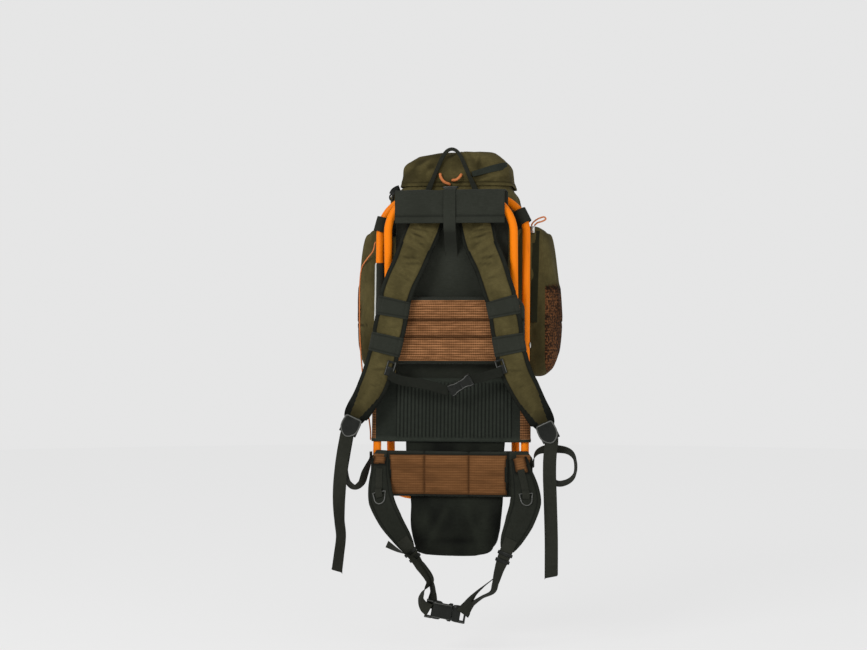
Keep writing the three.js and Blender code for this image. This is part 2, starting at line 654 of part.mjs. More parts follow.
// A buckle's outline: a body with a waist between a bar at each end.
function buckleOutline({ half, length, waist }) {
  const end = length / 2;
  const bar = end - 7;
  const shoulder = bar - 4;
  const neck = half - waist;
  return [
    [-half, -end], [half, -end], [half, -bar], [neck, -shoulder], [neck, shoulder], [half, bar],
    [half, end], [-half, end], [-half, bar], [-neck, shoulder], [-neck, -shoulder], [-half, -bar],
  ];
}
add('sternum_buckle', 'plastic', setInto(
  plate(buckleOutline(STERNUM_BUCKLE), [], STERNUM_BUCKLE.thickness),
  STERNUM_BUCKLE.place, STERNUM_BUCKLE.along, FRONT,
));

// Hip belt: padded wings that hang in front of the lumbar pad's ends
const WING_THICKNESS = 11;
const WINGS = {
  left: table('x y z width fx fy fz', [
    [-134, -53, -611, 32, -0.1, -1, 0.1], [-136, -57, -640, 38, -0.1, -1, 0.2],
    [-135, -65, -668, 48, -0.15, -1, 0.3], [-130, -77, -694, 53, -0.2, -1, 0.35],
    [-110, -90, -732, 48, -0.2, -1, 0.35], [-84, -99, -768, 37, -0.2, -1, 0.3],
    [-72, -103, -786, 27, -0.1, -1, 0.3],
  ]),
  right: table('x y z width fx fy fz', [
    [137, -53, -611, 36, 0.1, -1, 0.1], [144, -57, -640, 44, 0.1, -1, 0.2],
    [151, -65, -668, 55, 0.15, -1, 0.3], [154, -77, -694, 61, 0.15, -1, 0.35],
    [143, -90, -732, 56, 0.15, -1, 0.35], [128, -99, -766, 43, 0.15, -1, 0.3],
    [120, -103, -785, 29, 0.1, -1, 0.3],
  ]),
};

function wingBody(name) {
  const rows = route(WINGS[name], { thick: WING_THICKNESS });
  return cut(sweep(rows, PADDED, 12), lumbarPad(GAP));
}

// A place on a wing's front: `share` of its length from the root, `aside` across, `lift` off its face.
function onWing(name, share, aside, lift) {
  const rows = smoothRows(route(WINGS[name], { thick: WING_THICKNESS }), 60);
  const i = Math.min(Math.max(Math.round(share * 60), 1), 59);
  const along = rows[i + 1].place.clone().sub(rows[i - 1].place).normalize();
  const facing = rows[i].facing.clone().addScaledVector(along, -rows[i].facing.dot(along)).normalize();
  const side = along.clone().cross(facing);
  const place = rows[i].place.clone().addScaledVector(side, aside)
    .addScaledVector(facing, (WING_THICKNESS / 2) * CROWN + lift);
  return { place, along, facing };
}

const RING = { half: 13, length: 24, wire: 3.6, thickness: 3.6, share: 0.42 };
const RING_TAB_WIDTH = 17;
function dRing(name) {
  const { place, along, facing } = onWing(name, RING.share, 0, GAP * 2 + RING.thickness / 2);
  const outline = [];
  const hole = [];
  for (const [list, inset] of [[outline, 0], [hole, RING.wire]]) {
    const half = RING.half - inset;
    list.push([-half, inset], [half, inset]);
    for (let i = 0; i <= 6; i += 1) {
      const turn = (i / 6) * Math.PI;
      list.push([half * Math.cos(turn), RING.length - RING.half + half * Math.sin(turn)]);
    }
  }
  return setInto(plate(outline, [hole.reverse()], RING.thickness), place, along, facing);
}

// The tab that holds a ring: sewn to the wing above it, over the ring's bar and back to the wing.
const RING_TAB = table('share lift', [
  [0.04, 0], [0.14, 0], [0.26, 0], [0.36, 0.6], [0.4, 4.6], [0.425, 5.2], [0.452, 4.4], [0.48, 0.6],
]);
function ringTab(name) {
  const rows = RING_TAB.map(({ share, lift }) => {
    const { place, facing } = onWing(name, share, 0, lift + GAP + WEBBING / 2);
    return { place, facing, width: RING_TAB_WIDTH, thick: WEBBING };
  });
  return sweep(rows, FLAT, 14);
}

for (const name of Object.keys(SIDES)) {
  add(`belt_wing_${name}`, 'black_cloth', wingBody(name));
  add(`d_ring_${name}`, 'plastic', dRing(name));
  add(`ring_tab_${name}`, 'webbing', ringTab(name));
}

// Belt webbing: a main run and a returned run on each side, the left one with a free tail
const BUCKLE = { place: point(4, -127, -903), along: point(0.985, 0, -0.17), half: 18, thickness: 12 };
const BELT_RUNS = {
  belt_webbing_left: table('x y z fx fy fz', [
    [-52, -113, -817, -0.5, -0.7, 0.4], [-31, -116, -845, -0.7, -0.65, 0.2], [-24, -116.5, -866, -0.3, -1, 0],
    [-25.5, -118.4, -884, 0, -1, 0], [-27.5, -119.4, -899, 0, -1, 0],
  ]),
  belt_webbing_right: table('x y z fx fy fz', [
    [113, -113, -822, 0.2, -1, 0.1], [106, -117, -848, 0.2, -0.85, 0.3], [93, -119, -863, 0.2, -0.6, 0.75],
    [71, -117, -876, 0, -0.6, 0.8], [54, -117.5, -889, 0.3, -0.8, 0.5], [42, -119.4, -900, 0, -1, 0],
    [36, -119.6, -908, 0, -1, 0],
  ]),
  belt_return_left: table('x y z fx fy fz', [
    [-27, -134.6, -900, 0, -1, 0], [-37, -133.4, -894, -0.4, -0.9, 0.2], [-46, -130, -880, -0.8, -0.5, 0.2],
    [-44, -124.5, -866, -0.8, -0.5, 0.1], [-36, -120.6, -848, -0.7, -0.65, 0.2],
    [-55.5, -117.5, -814, -0.5, -0.7, 0.4], [-72, -119, -796, -0.2, -0.8, 0.5],
    [-90, -122, -787, -0.2, -0.75, 0.6], [-112, -122, -775, -0.2, -0.75, 0.6],
  ]),
  belt_return_right: table('x y z fx fy fz', [
    [91, -111, -843, 0.6, -0.3, -0.8], [78, -119, -853, 0.6, -0.4, -0.7], [60, -129, -869, 0.4, -0.8, -0.5],
    [44, -134.4, -888, 0, -1, 0], [36.5, -134.3, -904, 0, -1, 0],
  ]),
};
const BELT_SEATS = { belt_webbing_left: 'left', belt_webbing_right: 'right' };
const BELT_SEAT_SHARES = [0.84, 0.96];

// Rows that lay a webbing flat on the tip of its wing.
const seatRows = (name, size) => BELT_SEAT_SHARES.map((share) => {
  const { place, facing } = onWing(name, share, 0, GAP * 2 + WEBBING / 2);
  return { place, facing, ...size };
});
for (const [name, rows] of Object.entries(BELT_RUNS)) {
  const size = { width: BELT_WIDTH, thick: WEBBING };
  const seat = BELT_SEATS[name] ? seatRows(BELT_SEATS[name], size) : [];
  add(name, 'webbing', sweep([...seat, ...route(rows, size)], FLAT, rows.length * 3));
}

// Side release buckle: a socket with side windows and a plug, each with a webbing slot
function buckleHalf(from, to, slotFrom, slotTo, waist) {
  const { half, thickness, place, along } = BUCKLE;
  const outline = roundedRectangle(-half + waist, half - waist, from, to, 4, 2);
  const slot = roundedRectangle(-half + 5, half - 5, slotFrom, slotTo, 1.5, 2).reverse();
  return setInto(plate(outline, [slot], thickness), place, along, FRONT);
}
add('belt_buckle_socket', 'plastic', buckleHalf(-40, 12, -36, -28, 0));
add('belt_buckle_plug', 'plastic', buckleHalf(12 + GAP, 39, 28, 35, 1.5));

// Main bag: an open sack with shoulders, fuller on the left, and a narrower collar under the lid
const BAG = table('z half back front radius shift', [
  [-560, 84, 66, 200, 20, 0], [-556, 104, 52, 214, 26, 0], [-542, 118, 45, 220, 28, 0], [-505, 126, 44, 224, 30, 0],
  [-380, 130, 44, 226, 30, 0], [-240, 131, 44, 226, 30, 0], [-125, 131, 44, 222, 30, -2],
  [-100, 129.5, 44.2, 216, 30, -5.5], [-79, 122.5, 45.5, 209, 30, -6.5], [-71, 106, 47.6, 206, 30, 0],
  [-40, 100, 47.6, 200, 30, 0],
]);

// Rings of a table's rounded outlines, pulled in by an inset.
const flatRings = (rows, inset, cornerSteps) => rows.map((row) => roundedRectangle(
  -row.half + inset, row.half - inset, row.back + inset, row.front - inset, row.radius - inset, cornerSteps,
).map(([x, y]) => point(x + (row.shift ?? 0), y, row.z)));

// A vessel: from the closed end to the rim outside, and back inside to a floor one wall thick.
function vessel(rows, wall, cornerSteps) {
  const inner = flatRings(rows, wall, cornerSteps);
  const inward = Math.sign(rows[rows.length - 1].z - rows[0].z) * wall;
  inner.slice(0, 2).forEach((ring, i) => ring.forEach((p) => { p.z += inward * (1 - i / 2); }));
  return loft([...flatRings(rows, 0, cornerSteps), ...inner.reverse()]);
}
const bagHull = () => loft(flatRings(BAG, -GAP));
add('main_bag', 'green_cloth', vessel(BAG, BAG_WALL));

// Lid: a cap over the collar, open below
const LID = table('z half back front radius', [
  [6, 62, 92, 178, 30], [3.5, 86, 66, 202, 34], [-7, 104, 50, 216, 36], [-22, 112, 45, 222, 36],
  [-44, 114, LID_BACK, 224, 34], [-66, 114, LID_BACK, 222, 34],
]);
add('lid', 'green_cloth', vessel(LID, BAG_WALL));

// Zip band across the lid's back corner, as a thin curved strip on its skin
function shellStrip(skin, from, to, region) {
  return meet(cut(skin(to), skin(from)), region);
}
const lidSkin = (grow) => loft(flatRings(LID, -grow));
const LID_ZIP = { x0: 36, x1: 111, y0: 20, y1: 62, z: -34, rise: 0.27, half: 9, skin: 1.6 };
function lidZip() {
  const { x0, x1, y0, y1, z, rise, half, skin } = LID_ZIP;
  const pivot = (x0 + x1) / 2;
  const region = boxBetween(x0 - pivot, x1 - pivot, y0, y1, -half, half);
  region.rotateY(-Math.atan(rise)).translate(pivot, 0, z);
  return shellStrip(lidSkin, GAP, GAP + skin, region);
}
add('lid_zip', 'black_cloth', lidZip());

// Drawcord ends that stand out from the lid's back, between the legs of the haul loop
const LID_CORD_DIAMETER = 5;
const LID_CORDS = {
  lid_cord_left: table('x y z', [
    [-24, 43.9, -42], [-24, 39, -43], [-22, 35, -51], [-16, 34, -60], [-10, 38.5, -63], [-9.6, 43.9, -63],
  ]),
  lid_cord_right: table('x y z', [
    [-3, 43.9, -57], [-2.6, 38.5, -57.4], [5, 34, -57], [12, 35, -51], [14, 39, -47], [14, 43.9, -46],
  ]),
};
for (const [name, rows] of Object.entries(LID_CORDS)) {
  const points = rows.map((row) => point(row.x, row.y, row.z));
  add(name, 'orange_cord', cordTube(points, LID_CORD_DIAMETER, 10));
}

// Haul loop: folded webbing whose feet are sewn to the bag behind the sling
const HAUL = table('aside z width thick', [
  [52, -118, 22, 5], [51, -98, 18, 5], [48, -78, 13, 5.2], [37, -52, HAUL_WIDTH, HAUL_BAND],
  [26.5, -27, HAUL_WIDTH, HAUL_BAND], [16.5, -7, HAUL_WIDTH, HAUL_BAND], [8, 2.5, HAUL_WIDTH, HAUL_BAND],
]);
const HAUL_MIDDLE = -60;
const HAUL_STEPS = 20;
function haulLoop() {
  const half = HAUL.map((row) => ({ ...row, x: HAUL_X - row.aside, y: HAUL_Y }));
  const crown = { x: HAUL_X, y: HAUL_Y, z: HAUL_CROWN, width: HAUL_WIDTH, thick: HAUL_BAND };
  const other = HAUL.map((row) => ({ ...row, x: HAUL_X + row.aside, y: HAUL_Y })).reverse();
  const rows = [...half, crown, ...other].map((row) => ({ ...row, width: row.thick, thick: row.width }));
  const facings = rows.map((row) => {
    const turn = Math.atan2(row.z - HAUL_MIDDLE, row.x - HAUL_X);
    return { ...row, fx: Math.cos(turn), fy: 0, fz: Math.sin(turn) };
  });
  return sweep(route(facings, {}), FLAT, HAUL_STEPS);
}
add('haul_loop', 'webbing', haulLoop());

// Side pockets: domes that open onto the bag's sides
const POCKET = table('x bottom top near far radius', [
  [124, -450, -152, 60, 206, 34], [156, -452, -150, 56, 210, 38], [180, -448, -160, 62, 206, 40],
  [195, -430, -186, 76, 196, 40], [201, -414, -232, 90, 184, 34], [206, -396, -276, 104, 172, 28],
  [209, -372, -318, 120, 156, 16],
]);
const pocketRings = (grow, side) => POCKET.map((row) => roundedRectangle(
  row.near - grow, row.far + grow, row.bottom - grow, row.top + grow, row.radius + grow,
).map(([y, z]) => point(side * (row.x + (row === POCKET[0] ? 0 : grow)), y, z)));
const pocketShell = (side) => loft([...pocketRings(0, side).reverse(), ...pocketRings(-CLOTH, side)]);
const POCKET_MESH = { from: 98, to: 240, inside: 140, outside: 240, top: -268, bottom: -480, skin: 1.6 };
const POCKET_ZIP = { x0: 157, x1: 171, y0: 40, y1: 80, z0: -345, z1: -164, skin: 1.4 };
for (const [name, side] of Object.entries(SIDES)) {
  const skin = (grow) => loft(pocketRings(grow, side));
  const { from, to, inside, outside, top, bottom } = POCKET_MESH;
  const [x0, x1] = [side * inside, side * outside].sort((a, b) => a - b);
  add(`side_pocket_${name}`, 'green_cloth', cut(pocketShell(side), bagHull()));
  add(`mesh_pocket_${name}`, 'pocket_mesh', shellStrip(
    skin, GAP, GAP + POCKET_MESH.skin, boxBetween(x0, x1, from, to, bottom, top),
  ));
}
add('pocket_zip_right', 'black_cloth', shellStrip(
  (grow) => loft(pocketRings(grow, SIDES.right)), GAP, GAP + POCKET_ZIP.skin,
  boxBetween(POCKET_ZIP.x0, POCKET_ZIP.x1, POCKET_ZIP.y0, POCKET_ZIP.y1, POCKET_ZIP.z0, POCKET_ZIP.z1),
));

// Zip slider at the top of the right pocket, and its cord
const ZIP_SLIDER = { x0: 152, x1: 162, y0: 58, y1: 72, z0: -164, z1: -151 };
add('zip_slider_right', 'steel', cut(
  boxBetween(ZIP_SLIDER.x0, ZIP_SLIDER.x1, ZIP_SLIDER.y0, ZIP_SLIDER.y1, ZIP_SLIDER.z0, ZIP_SLIDER.z1),
  loft(pocketRings(GAP * 2 + POCKET_ZIP.skin, SIDES.right)),
));
const ZIP_CORD_DIAMETER = 3.2;
const ZIP_CORD = table('x y z', [
  [155, 61, -150.1], [156.5, 61, -145], [164, 60, -138], [173, 59, -133.5], [181, 59, -132], [184, 59, -136],
  [177, 59, -140.5], [167, 60, -143.5], [160.5, 61, -149.3],
]);
const zipCordPoints = ZIP_CORD.map((row) => point(row.x, row.y, row.z));
add('zip_cord_right', 'orange_cord', cordTube(zipCordPoints, ZIP_CORD_DIAMETER, 13));

// Frame clamps: webbing loops round the outer loop's bends, drawn back onto the bag's corners
const CLAMP = { width: 30, wall: 2.5, lean: 0.85, bow: 2.3, reach: 34 };
const CLAMP_TURNS = { left: 15, right: 27 };
function frameClamp(name, side) {
  const turn = THREE.MathUtils.degToRad(CLAMP_TURNS[name]);
  const z = FRAME_TOP - BEND_RADIUS + BEND_RADIUS * Math.sin(turn);
  const x = side * (OUTER_HALF_WIDTH - BEND_RADIUS + BEND_RADIUS * Math.cos(turn));
  const along = point(-side * Math.sin(turn), (FRAME_SPLAY / HALF_HEIGHT) * Math.cos(turn), Math.cos(turn));
  const back = point(-side * CLAMP.lean, 1, 0);
  const loop = (radius) => roundedRectangle(
    -radius, radius, -radius, CLAMP.reach + radius - TUBE_RADIUS, radius - 0.01, 3,
  );
  const inner = TUBE_RADIUS + GAP + CLAMP.bow;
  const ring = plate(loop(inner + CLAMP.wall), [loop(inner).reverse()], CLAMP.width);
  const facing = along.clone().normalize();
  const flat = back.addScaledVector(facing, -back.dot(facing)).normalize();
  const matrix = new THREE.Matrix4().makeBasis(flat.clone().cross(facing), flat, facing);
  return cut(ring.applyMatrix4(matrix.setPosition(point(x, outerY(z), z))), bagHull());
}
for (const [name, side] of Object.entries(SIDES)) {
  add(`frame_clamp_${name}`, 'webbing', frameClamp(name, side));
}

// Butt pocket: a flat pouch that passes behind the lumbar pad and swells below it
const BUTT_WALL = 1.6;
const BUTT_CORNER_STEPS = 2;
const BUTT = table('z half back front radius shift', [
  [-804, 50, -48, -40, 3.8, 3], [-800, 66, -51, -38, 6, 5], [-786, 79, -56, -34, 9, 10],
  [-760, 87, -60, -33, 10, 13], [-728, 90, -59, -34, 10, 14.5], [-708, 91, -51, -36.6, 7, 15],
  [-691, 92, -44.4, -36, 4, 14.5], [-650, 94, -44.2, -35, 4, 12.5], [-620, 97, -38, -28, 4, 10.5],
  [-600, 98, -30, -20.6, 4, 9.5], [-584, 99, -25.2, -16, 4, 9.5], [-566, 99, -23.7, -14.5, 4, 9.5],
]);
add('butt_pocket', 'black_cloth', vessel(BUTT, BUTT_WALL, BUTT_CORNER_STEPS));

// Elastic cord: from the left clamp over the pocket, taut down to the ribbed band
const ELASTIC_DIAMETER = 3;
const ELASTIC = table('x y z', [
  [-158.2, 20, -182], [-166, 38, -200], [-180, 54, -214], [-194.5, 71, -232], [-201, 85, -262],
  [-202.2, 88, -312], [-201, 85, -372], [-190, 52, -448], [-173, 10, -516], [-162.5, -14, -562],
  [-161.35, -19.5, -580],
]);
const elasticPoints = ELASTIC.map((row) => point(row.x, row.y, row.z));
add('elastic_cord', 'orange_cord', cordTube(elasticPoints, ELASTIC_DIAMETER, 22));

// Plain sleeve on the left leg
const WRAP = { top: -225, hem: -372, wall: 1.4 };
function tubeWrap() {
  const inner = TUBE_RADIUS + GAP;
  const outer = inner + WRAP.wall;
  const ring = (radius, z) => Array.from({ length: TUBE_SIDES }, (_, k) => {
    const turn = (k / TUBE_SIDES) * Math.PI * 2;
    return point(-OUTER_HALF_WIDTH + radius * Math.cos(turn), outerY(z) + radius * Math.sin(turn), z);
  });
  const corners = [[inner, WRAP.top], [outer, WRAP.top], [outer, WRAP.hem], [inner, WRAP.hem]];
  return loft(corners.map(([radius, z]) => ring(radius, z)), true);
}
add('tube_wrap', 'black_cloth', tubeWrap());

// Small ring at the bag's upper left corner
const SIDE_RING = {
  place: point(-129, 54, -85), facing: point(-0.8, -0.6, 0), half: 6, reach: 13, wire: 2.6, thickness: 3,
};
function sideRing() {
  const { place, facing, half, reach, wire, thickness } = SIDE_RING;
  const outline = roundedRectangle(-half, half, -reach, reach, 4, 2);
  const hole = roundedRectangle(wire - half, half - wire, wire - reach, reach - wire, 2, 2).reverse();
  return setInto(plate(outline, [hole], thickness), place, point(0, 0, 1), facing);
}
add('side_ring', 'plastic', cut(sideRing(), bagHull()));

export default pack;
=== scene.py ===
"""Looks of the chair backpack: a folded stool of orange tubes that carries a rucksack, straps and a hip belt.

Every table is in millimetres from the middle of the stool's top: X runs to the right as the viewer sees it,
Y runs away from the viewer and Z runs up. One shift takes it all to the frame's origin, under the haul loop.
"""

from __future__ import annotations

import logging
import math
from dataclasses import dataclass, field
from enum import Enum
from typing import Any, Sequence

import bpy
import numpy as np
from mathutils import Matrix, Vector

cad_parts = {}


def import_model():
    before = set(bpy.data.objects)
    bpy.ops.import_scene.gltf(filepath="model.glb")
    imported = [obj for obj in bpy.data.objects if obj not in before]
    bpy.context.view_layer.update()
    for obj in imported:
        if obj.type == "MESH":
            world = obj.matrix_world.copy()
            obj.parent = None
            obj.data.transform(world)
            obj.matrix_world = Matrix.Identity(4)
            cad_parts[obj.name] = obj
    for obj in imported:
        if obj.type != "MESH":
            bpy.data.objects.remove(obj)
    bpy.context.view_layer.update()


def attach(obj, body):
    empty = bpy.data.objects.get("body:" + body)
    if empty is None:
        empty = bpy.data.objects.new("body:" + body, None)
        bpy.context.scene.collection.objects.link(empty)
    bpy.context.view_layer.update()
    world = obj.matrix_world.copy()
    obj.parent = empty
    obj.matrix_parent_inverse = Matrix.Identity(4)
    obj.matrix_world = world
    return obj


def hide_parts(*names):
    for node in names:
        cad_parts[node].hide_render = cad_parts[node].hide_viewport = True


Array = np.ndarray
Rows = Sequence[Sequence[float]]
Colour = tuple[float, float, float]
Socket = bpy.types.NodeSocket
Log = logging.getLogger("backpack")

MM = 0.001
HANG = np.array([5.0, -41.0, -0.25])
FRONT = np.array([0.0, -1.0, 0.0])
GAP = 0.3
WEBBING = 1.6


class Slot(str, Enum):
    """The record's material slots."""

    PAINT = "paint"
    STEEL = "steel"
    BLACK = "black_cloth"
    GREEN = "green_cloth"
    RUST = "rust_mesh"
    WEBBING = "webbing"
    PLASTIC = "plastic"
    CORD = "orange_cord"


class Side(Enum):
    """The pack's two sides, as the viewer sees them."""

    LEFT = -1
    RIGHT = 1

    @property
    def word(self) -> str:
        """The side's name in a piece's name."""
        return self.name.lower()


def smooth(value: Array | float, start: float, end: float) -> Array:
    """Smooth step: 0 before start, 1 after end, and a cubic ease between.

    Args:
        value: Where to read the step.
        start: Where it leaves 0.
        end: Where it reaches 1.

    Returns:
        The step's height at each value.
    """
    share = np.clip((np.asarray(value, float) - start) / (end - start), 0.0, 1.0)
    return share * share * (3.0 - 2.0 * share)


def unit(vectors: Array) -> Array:
    """The same directions at length 1."""
    return vectors / np.maximum(np.linalg.norm(vectors, axis=-1, keepdims=True), 1e-9)


def bell(value: Array, width: float) -> Array:
    """Bell curve: 1 at 0, falling away to both sides over the width."""
    return np.exp(-((value / width) ** 2))


def travel(path: Array) -> Array:
    """How far along a path each of its points lies."""
    return np.concatenate([[0.0], np.cumsum(np.linalg.norm(np.diff(path[:, :3], axis=0), axis=1))])


def places(*columns: Array | float) -> Array:
    """Points from their coordinates, each spread over the shape that they share."""
    return np.stack(np.broadcast_arrays(*columns), -1)


def table(*rows: Sequence[float]) -> Any:
    """A field with one table of numbers."""
    return field(default_factory=lambda: np.array(rows, float))


def named(**tables: Rows) -> Any:
    """A field with several tables by name."""
    return field(default_factory=lambda: {name: np.array(rows, float) for name, rows in tables.items()})


def sided(left: Any, right: Any) -> Any:
    """A field with a table for each side."""
    return field(default_factory=lambda: dict(zip(Side, (np.array(left, float), np.array(right, float)))))


def cubic(start: Array, leave: Array, end: Array, arrive: Array, s: Array) -> Array:
    """Cubic from one value to another with a slope at each, read at shares s of the way."""
    early = start * (2 * s**3 - 3 * s**2 + 1) + leave * (s**3 - 2 * s**2 + s)
    return early + end * (3 * s**2 - 2 * s**3) + arrive * (s**3 - s**2)


def spline(rows: Array, count: int) -> Array:
    """Centripetal curve through the rows' places, with any further columns blended in straight lines.

    Each span is a cubic whose end slopes weigh the neighbouring spans by the root of their lengths.

    Args:
        rows: One row per knot: x, y, z and any further columns.
        count: How many rows to sample.

    Returns:
        The sampled rows.
    """
    rows = np.asarray(rows, float)
    at = np.linspace(0.0, len(rows) - 1.0, count)
    k = np.minimum(at.astype(int), len(rows) - 2)
    s = (at - k)[:, None]
    place = rows[:, :3]
    ends = np.vstack([2 * place[0] - place[1], place, 2 * place[-1] - place[-2]])
    p0, p1, p2, p3 = ends[k], ends[k + 1], ends[k + 2], ends[k + 3]
    spans = ((p0, p1), (p1, p2), (p2, p3))
    d0, d1, d2 = (np.sqrt(np.linalg.norm(b - a, axis=1, keepdims=True)) for a, b in spans)
    t1 = ((p1 - p0) / d0 - (p2 - p0) / (d0 + d1) + (p2 - p1) / d1) * d1
    t2 = ((p2 - p1) / d1 - (p3 - p1) / (d1 + d2) + (p3 - p2) / d2) * d1
    return np.hstack([cubic(p1, t1, p2, t2, s), rows[k, 3:] * (1 - s) + rows[k + 1, 3:] * s])


def through(rows: Array, at: Array) -> Array:
    """Cubic curve of a table's columns over its first column, with slopes from the neighbouring rows.

    Args:
        rows: The table, its first column rising.
        at: Values of the first column to read.

    Returns:
        The other columns at those values.
    """
    rows = np.asarray(rows, float)
    knots, values = rows[:, 0], rows[:, 1:]
    slopes = np.gradient(values, knots, axis=0)
    k = np.clip(np.searchsorted(knots, at, side="right") - 1, 0, len(knots) - 2)
    step = (knots[k + 1] - knots[k])[:, None]
    s = ((at - knots[k]) / (knots[k + 1] - knots[k]))[:, None]
    return cubic(values[k], slopes[k] * step, values[k + 1], slopes[k + 1] * step, s)


def ripple(across: Array, along: Array, cells: tuple[int, int], seed: int) -> Array:
    """Soft noise from -1 to 1: seeded values on a lattice that wraps, eased from knot to knot.

    Args:
        across: First coordinate, in lattice cells.
        along: Second coordinate, in lattice cells.
        cells: How many cells the lattice has each way before it wraps.
        seed: Seed of the lattice.

    Returns:
        The noise at each place.
    """
    lattice = np.random.default_rng(seed).uniform(-1.0, 1.0, cells)
    i, j = np.floor(across).astype(int), np.floor(along).astype(int)
    s, t = smooth(across - i, 0.0, 1.0), smooth(along - j, 0.0, 1.0)
    i0, i1, j0, j1 = i % cells[0], (i + 1) % cells[0], j % cells[1], (j + 1) % cells[1]
    low = lattice[i0, j0] * (1 - s) + lattice[i1, j0] * s
    high = lattice[i0, j1] * (1 - s) + lattice[i1, j1] * s
    return low * (1 - t) + high * t


def fold(
    across: Array, along: Array, centre: Sequence[float], turn: float, size: Sequence[float]
) -> Array:
    """One fold of cloth: a ridge with a bell-shaped section that fades towards its ends.

    Args:
        across: First coordinate of the cloth, in mm.
        along: Second coordinate of the cloth, in mm.
        centre: Where the fold's middle lies.
        turn: The fold's direction in degrees from the first coordinate.
        size: Half its length and half its width in mm.

    Returns:
        The fold's height, 1 on the middle of its ridge.
    """
    angle = math.radians(turn)
    a, b = across - centre[0], along - centre[1]
    length = a * math.cos(angle) + b * math.sin(angle)
    width = b * math.cos(angle) - a * math.sin(angle)
    return np.exp(-((length / size[0]) ** 2) - (width / size[1]) ** 2)


def quilt(value: Array, seams: Sequence[float]) -> Array:
    """Swell of a quilted face: half a circle between each pair of seams, 0 on a seam and outside them.

    Args:
        value: Places across the seams.
        seams: Where the seams lie.

    Returns:
        The swell, 1 midway between two seams.
    """
    knots = np.sort(np.asarray(seams, float))
    k = np.clip(np.searchsorted(knots, value, side="right") - 1, 0, len(knots) - 2)
    share = np.clip((value - knots[k]) / (knots[k + 1] - knots[k]), 0.0, 1.0)
    return np.sqrt(np.maximum(1.0 - (2.0 * share - 1.0) ** 2, 0.0))


@dataclass
class Skin:
    """A mesh as whole arrays: points in mm, faces of four corners, and what the finishes read."""

    points: Array
    faces: Array
    uv: Array
    look: Array
    seam_and_shade: Array

    def outward(self) -> Skin:
        """Turns a closed skin's faces out, by the sign of the volume that they enclose.

        Returns:
            The skin itself.
        """
        a, b, c, d = (self.points[self.faces[:, i]] for i in range(4))
        volume = np.sum(a * np.cross(b, c)) + np.sum(a * np.cross(c, d))
        if volume < 0:
            self.faces = self.faces[:, ::-1]
            self.uv = self.uv[:, ::-1]
        return self

    def middles(self) -> Array:
        """The middle of each face."""
        return self.points[self.faces].mean(axis=1)

    def second(self) -> Skin:
        """The same skin in its piece's second finish."""
        self.look = np.ones(len(self.faces), int)
        return self


def grid(
    points: Array, round_across: bool = False, round_along: bool = False, capped: bool = False,
    seam_and_shade: Array | float = 0.0,
) -> Skin:
    """A skin over a grid of points, with UVs that measure the cloth in metres each way.

    Args:
        points: Rows of points, shape rows, columns, 3.
        round_across: Joins the last column to the first.
        round_along: Joins the last row to the first.
        capped: Closes the first and last row with strips from side to side.
        seam_and_shade: How far each point is darkened, 0 to 1: at a sewn seam, or painted shade in a fold,
            wrinkle, groove or recess.

    Returns:
        The skin.
    """
    rows, columns = points.shape[:2]
    r = np.arange(rows if round_along else rows - 1)
    c = np.arange(columns if round_across else columns - 1)
    rr, cc = np.meshgrid(r, c, indexing="ij")
    r2, c2 = (rr + 1) % rows, (cc + 1) % columns
    corners = [rr * columns + cc, rr * columns + c2, r2 * columns + c2, r2 * columns + cc]
    faces = np.stack(corners, -1).reshape(-1, 4)
    wide = np.linalg.norm(np.roll(points, -1, axis=1) - points, axis=2).mean(axis=0)
    tall = np.linalg.norm(np.roll(points, -1, axis=0) - points, axis=2).mean(axis=1)
    u = np.concatenate([[0.0], np.cumsum(wide)]) * MM
    v = np.concatenate([[0.0], np.cumsum(tall)]) * MM
    corners_u = np.stack([u[cc], u[cc + 1], u[cc + 1], u[cc]], -1)
    corners_v = np.stack([v[rr], v[rr], v[rr + 1], v[rr + 1]], -1)
    uv = np.stack([corners_u, corners_v], -1).reshape(-1, 4, 2)
    if capped:
        k = np.arange(columns // 2 - 1)
        first = np.stack([k + 1, k, columns - 1 - k, columns - 2 - k], -1)
        last = first[:, ::-1] + (rows - 1) * columns
        flat = np.stack([u[first], np.zeros(first.shape)], -1)
        faces = np.vstack([faces, first, last])
        uv = np.vstack([uv, flat, flat[:, ::-1]])
    depth = np.broadcast_to(seam_and_shade, (rows, columns)).reshape(-1).copy()
    return Skin(points.reshape(-1, 3), faces, uv, np.zeros(len(faces), int), depth)


def solid(points: Array, seam_and_shade: Array | float = 0.0) -> Skin:
    """A skin over closed rings of points, capped at both ends, with its faces turned out."""
    return grid(points, round_across=True, capped=True, seam_and_shade=seam_and_shade).outward()


def joined(*skins: Skin) -> Skin:
    """Several skins as one.

    Args:
        skins: The skins, in order.

    Returns:
        One skin with all their faces.
    """
    starts = np.cumsum([0] + [len(skin.points) for skin in skins[:-1]])
    return Skin(
        np.vstack([skin.points for skin in skins]),
        np.vstack([skin.faces + start for skin, start in zip(skins, starts)]),
        np.vstack([skin.uv for skin in skins]),
        np.concatenate([skin.look for skin in skins]),
        np.concatenate([skin.seam_and_shade for skin in skins]),
    )


def carry(profile: Array, centre: Array, facing: Array, width: Array | float, thick: Array | float) -> Array:
    """A profile carried along a path: across by its first number, towards the facing side by its second.

    Args:
        profile: Points in half widths and half thicknesses, shape columns, 2 or rows, columns, 2.
        centre: The path's points.
        facing: Which way the profile's second axis points at each of them.
        width: The profile's width in mm along the path.
        thick: Its thickness in mm along the path.

    Returns:
        Rows of points.
    """
    along = unit(np.gradient(centre, axis=0))
    facing = np.broadcast_to(facing, centre.shape)
    out = unit(facing - along * np.sum(facing * along, axis=1, keepdims=True))
    side = np.cross(along, out)
    half_width = np.broadcast_to(np.asarray(width, float) / 2, len(centre))[:, None]
    half_thick = np.broadcast_to(np.asarray(thick, float) / 2, len(centre))[:, None]
    a = profile[..., 0] * half_width
    b = profile[..., 1] * half_thick
    return centre[:, None] + side[:, None] * a[..., None] + out[:, None] * b[..., None]


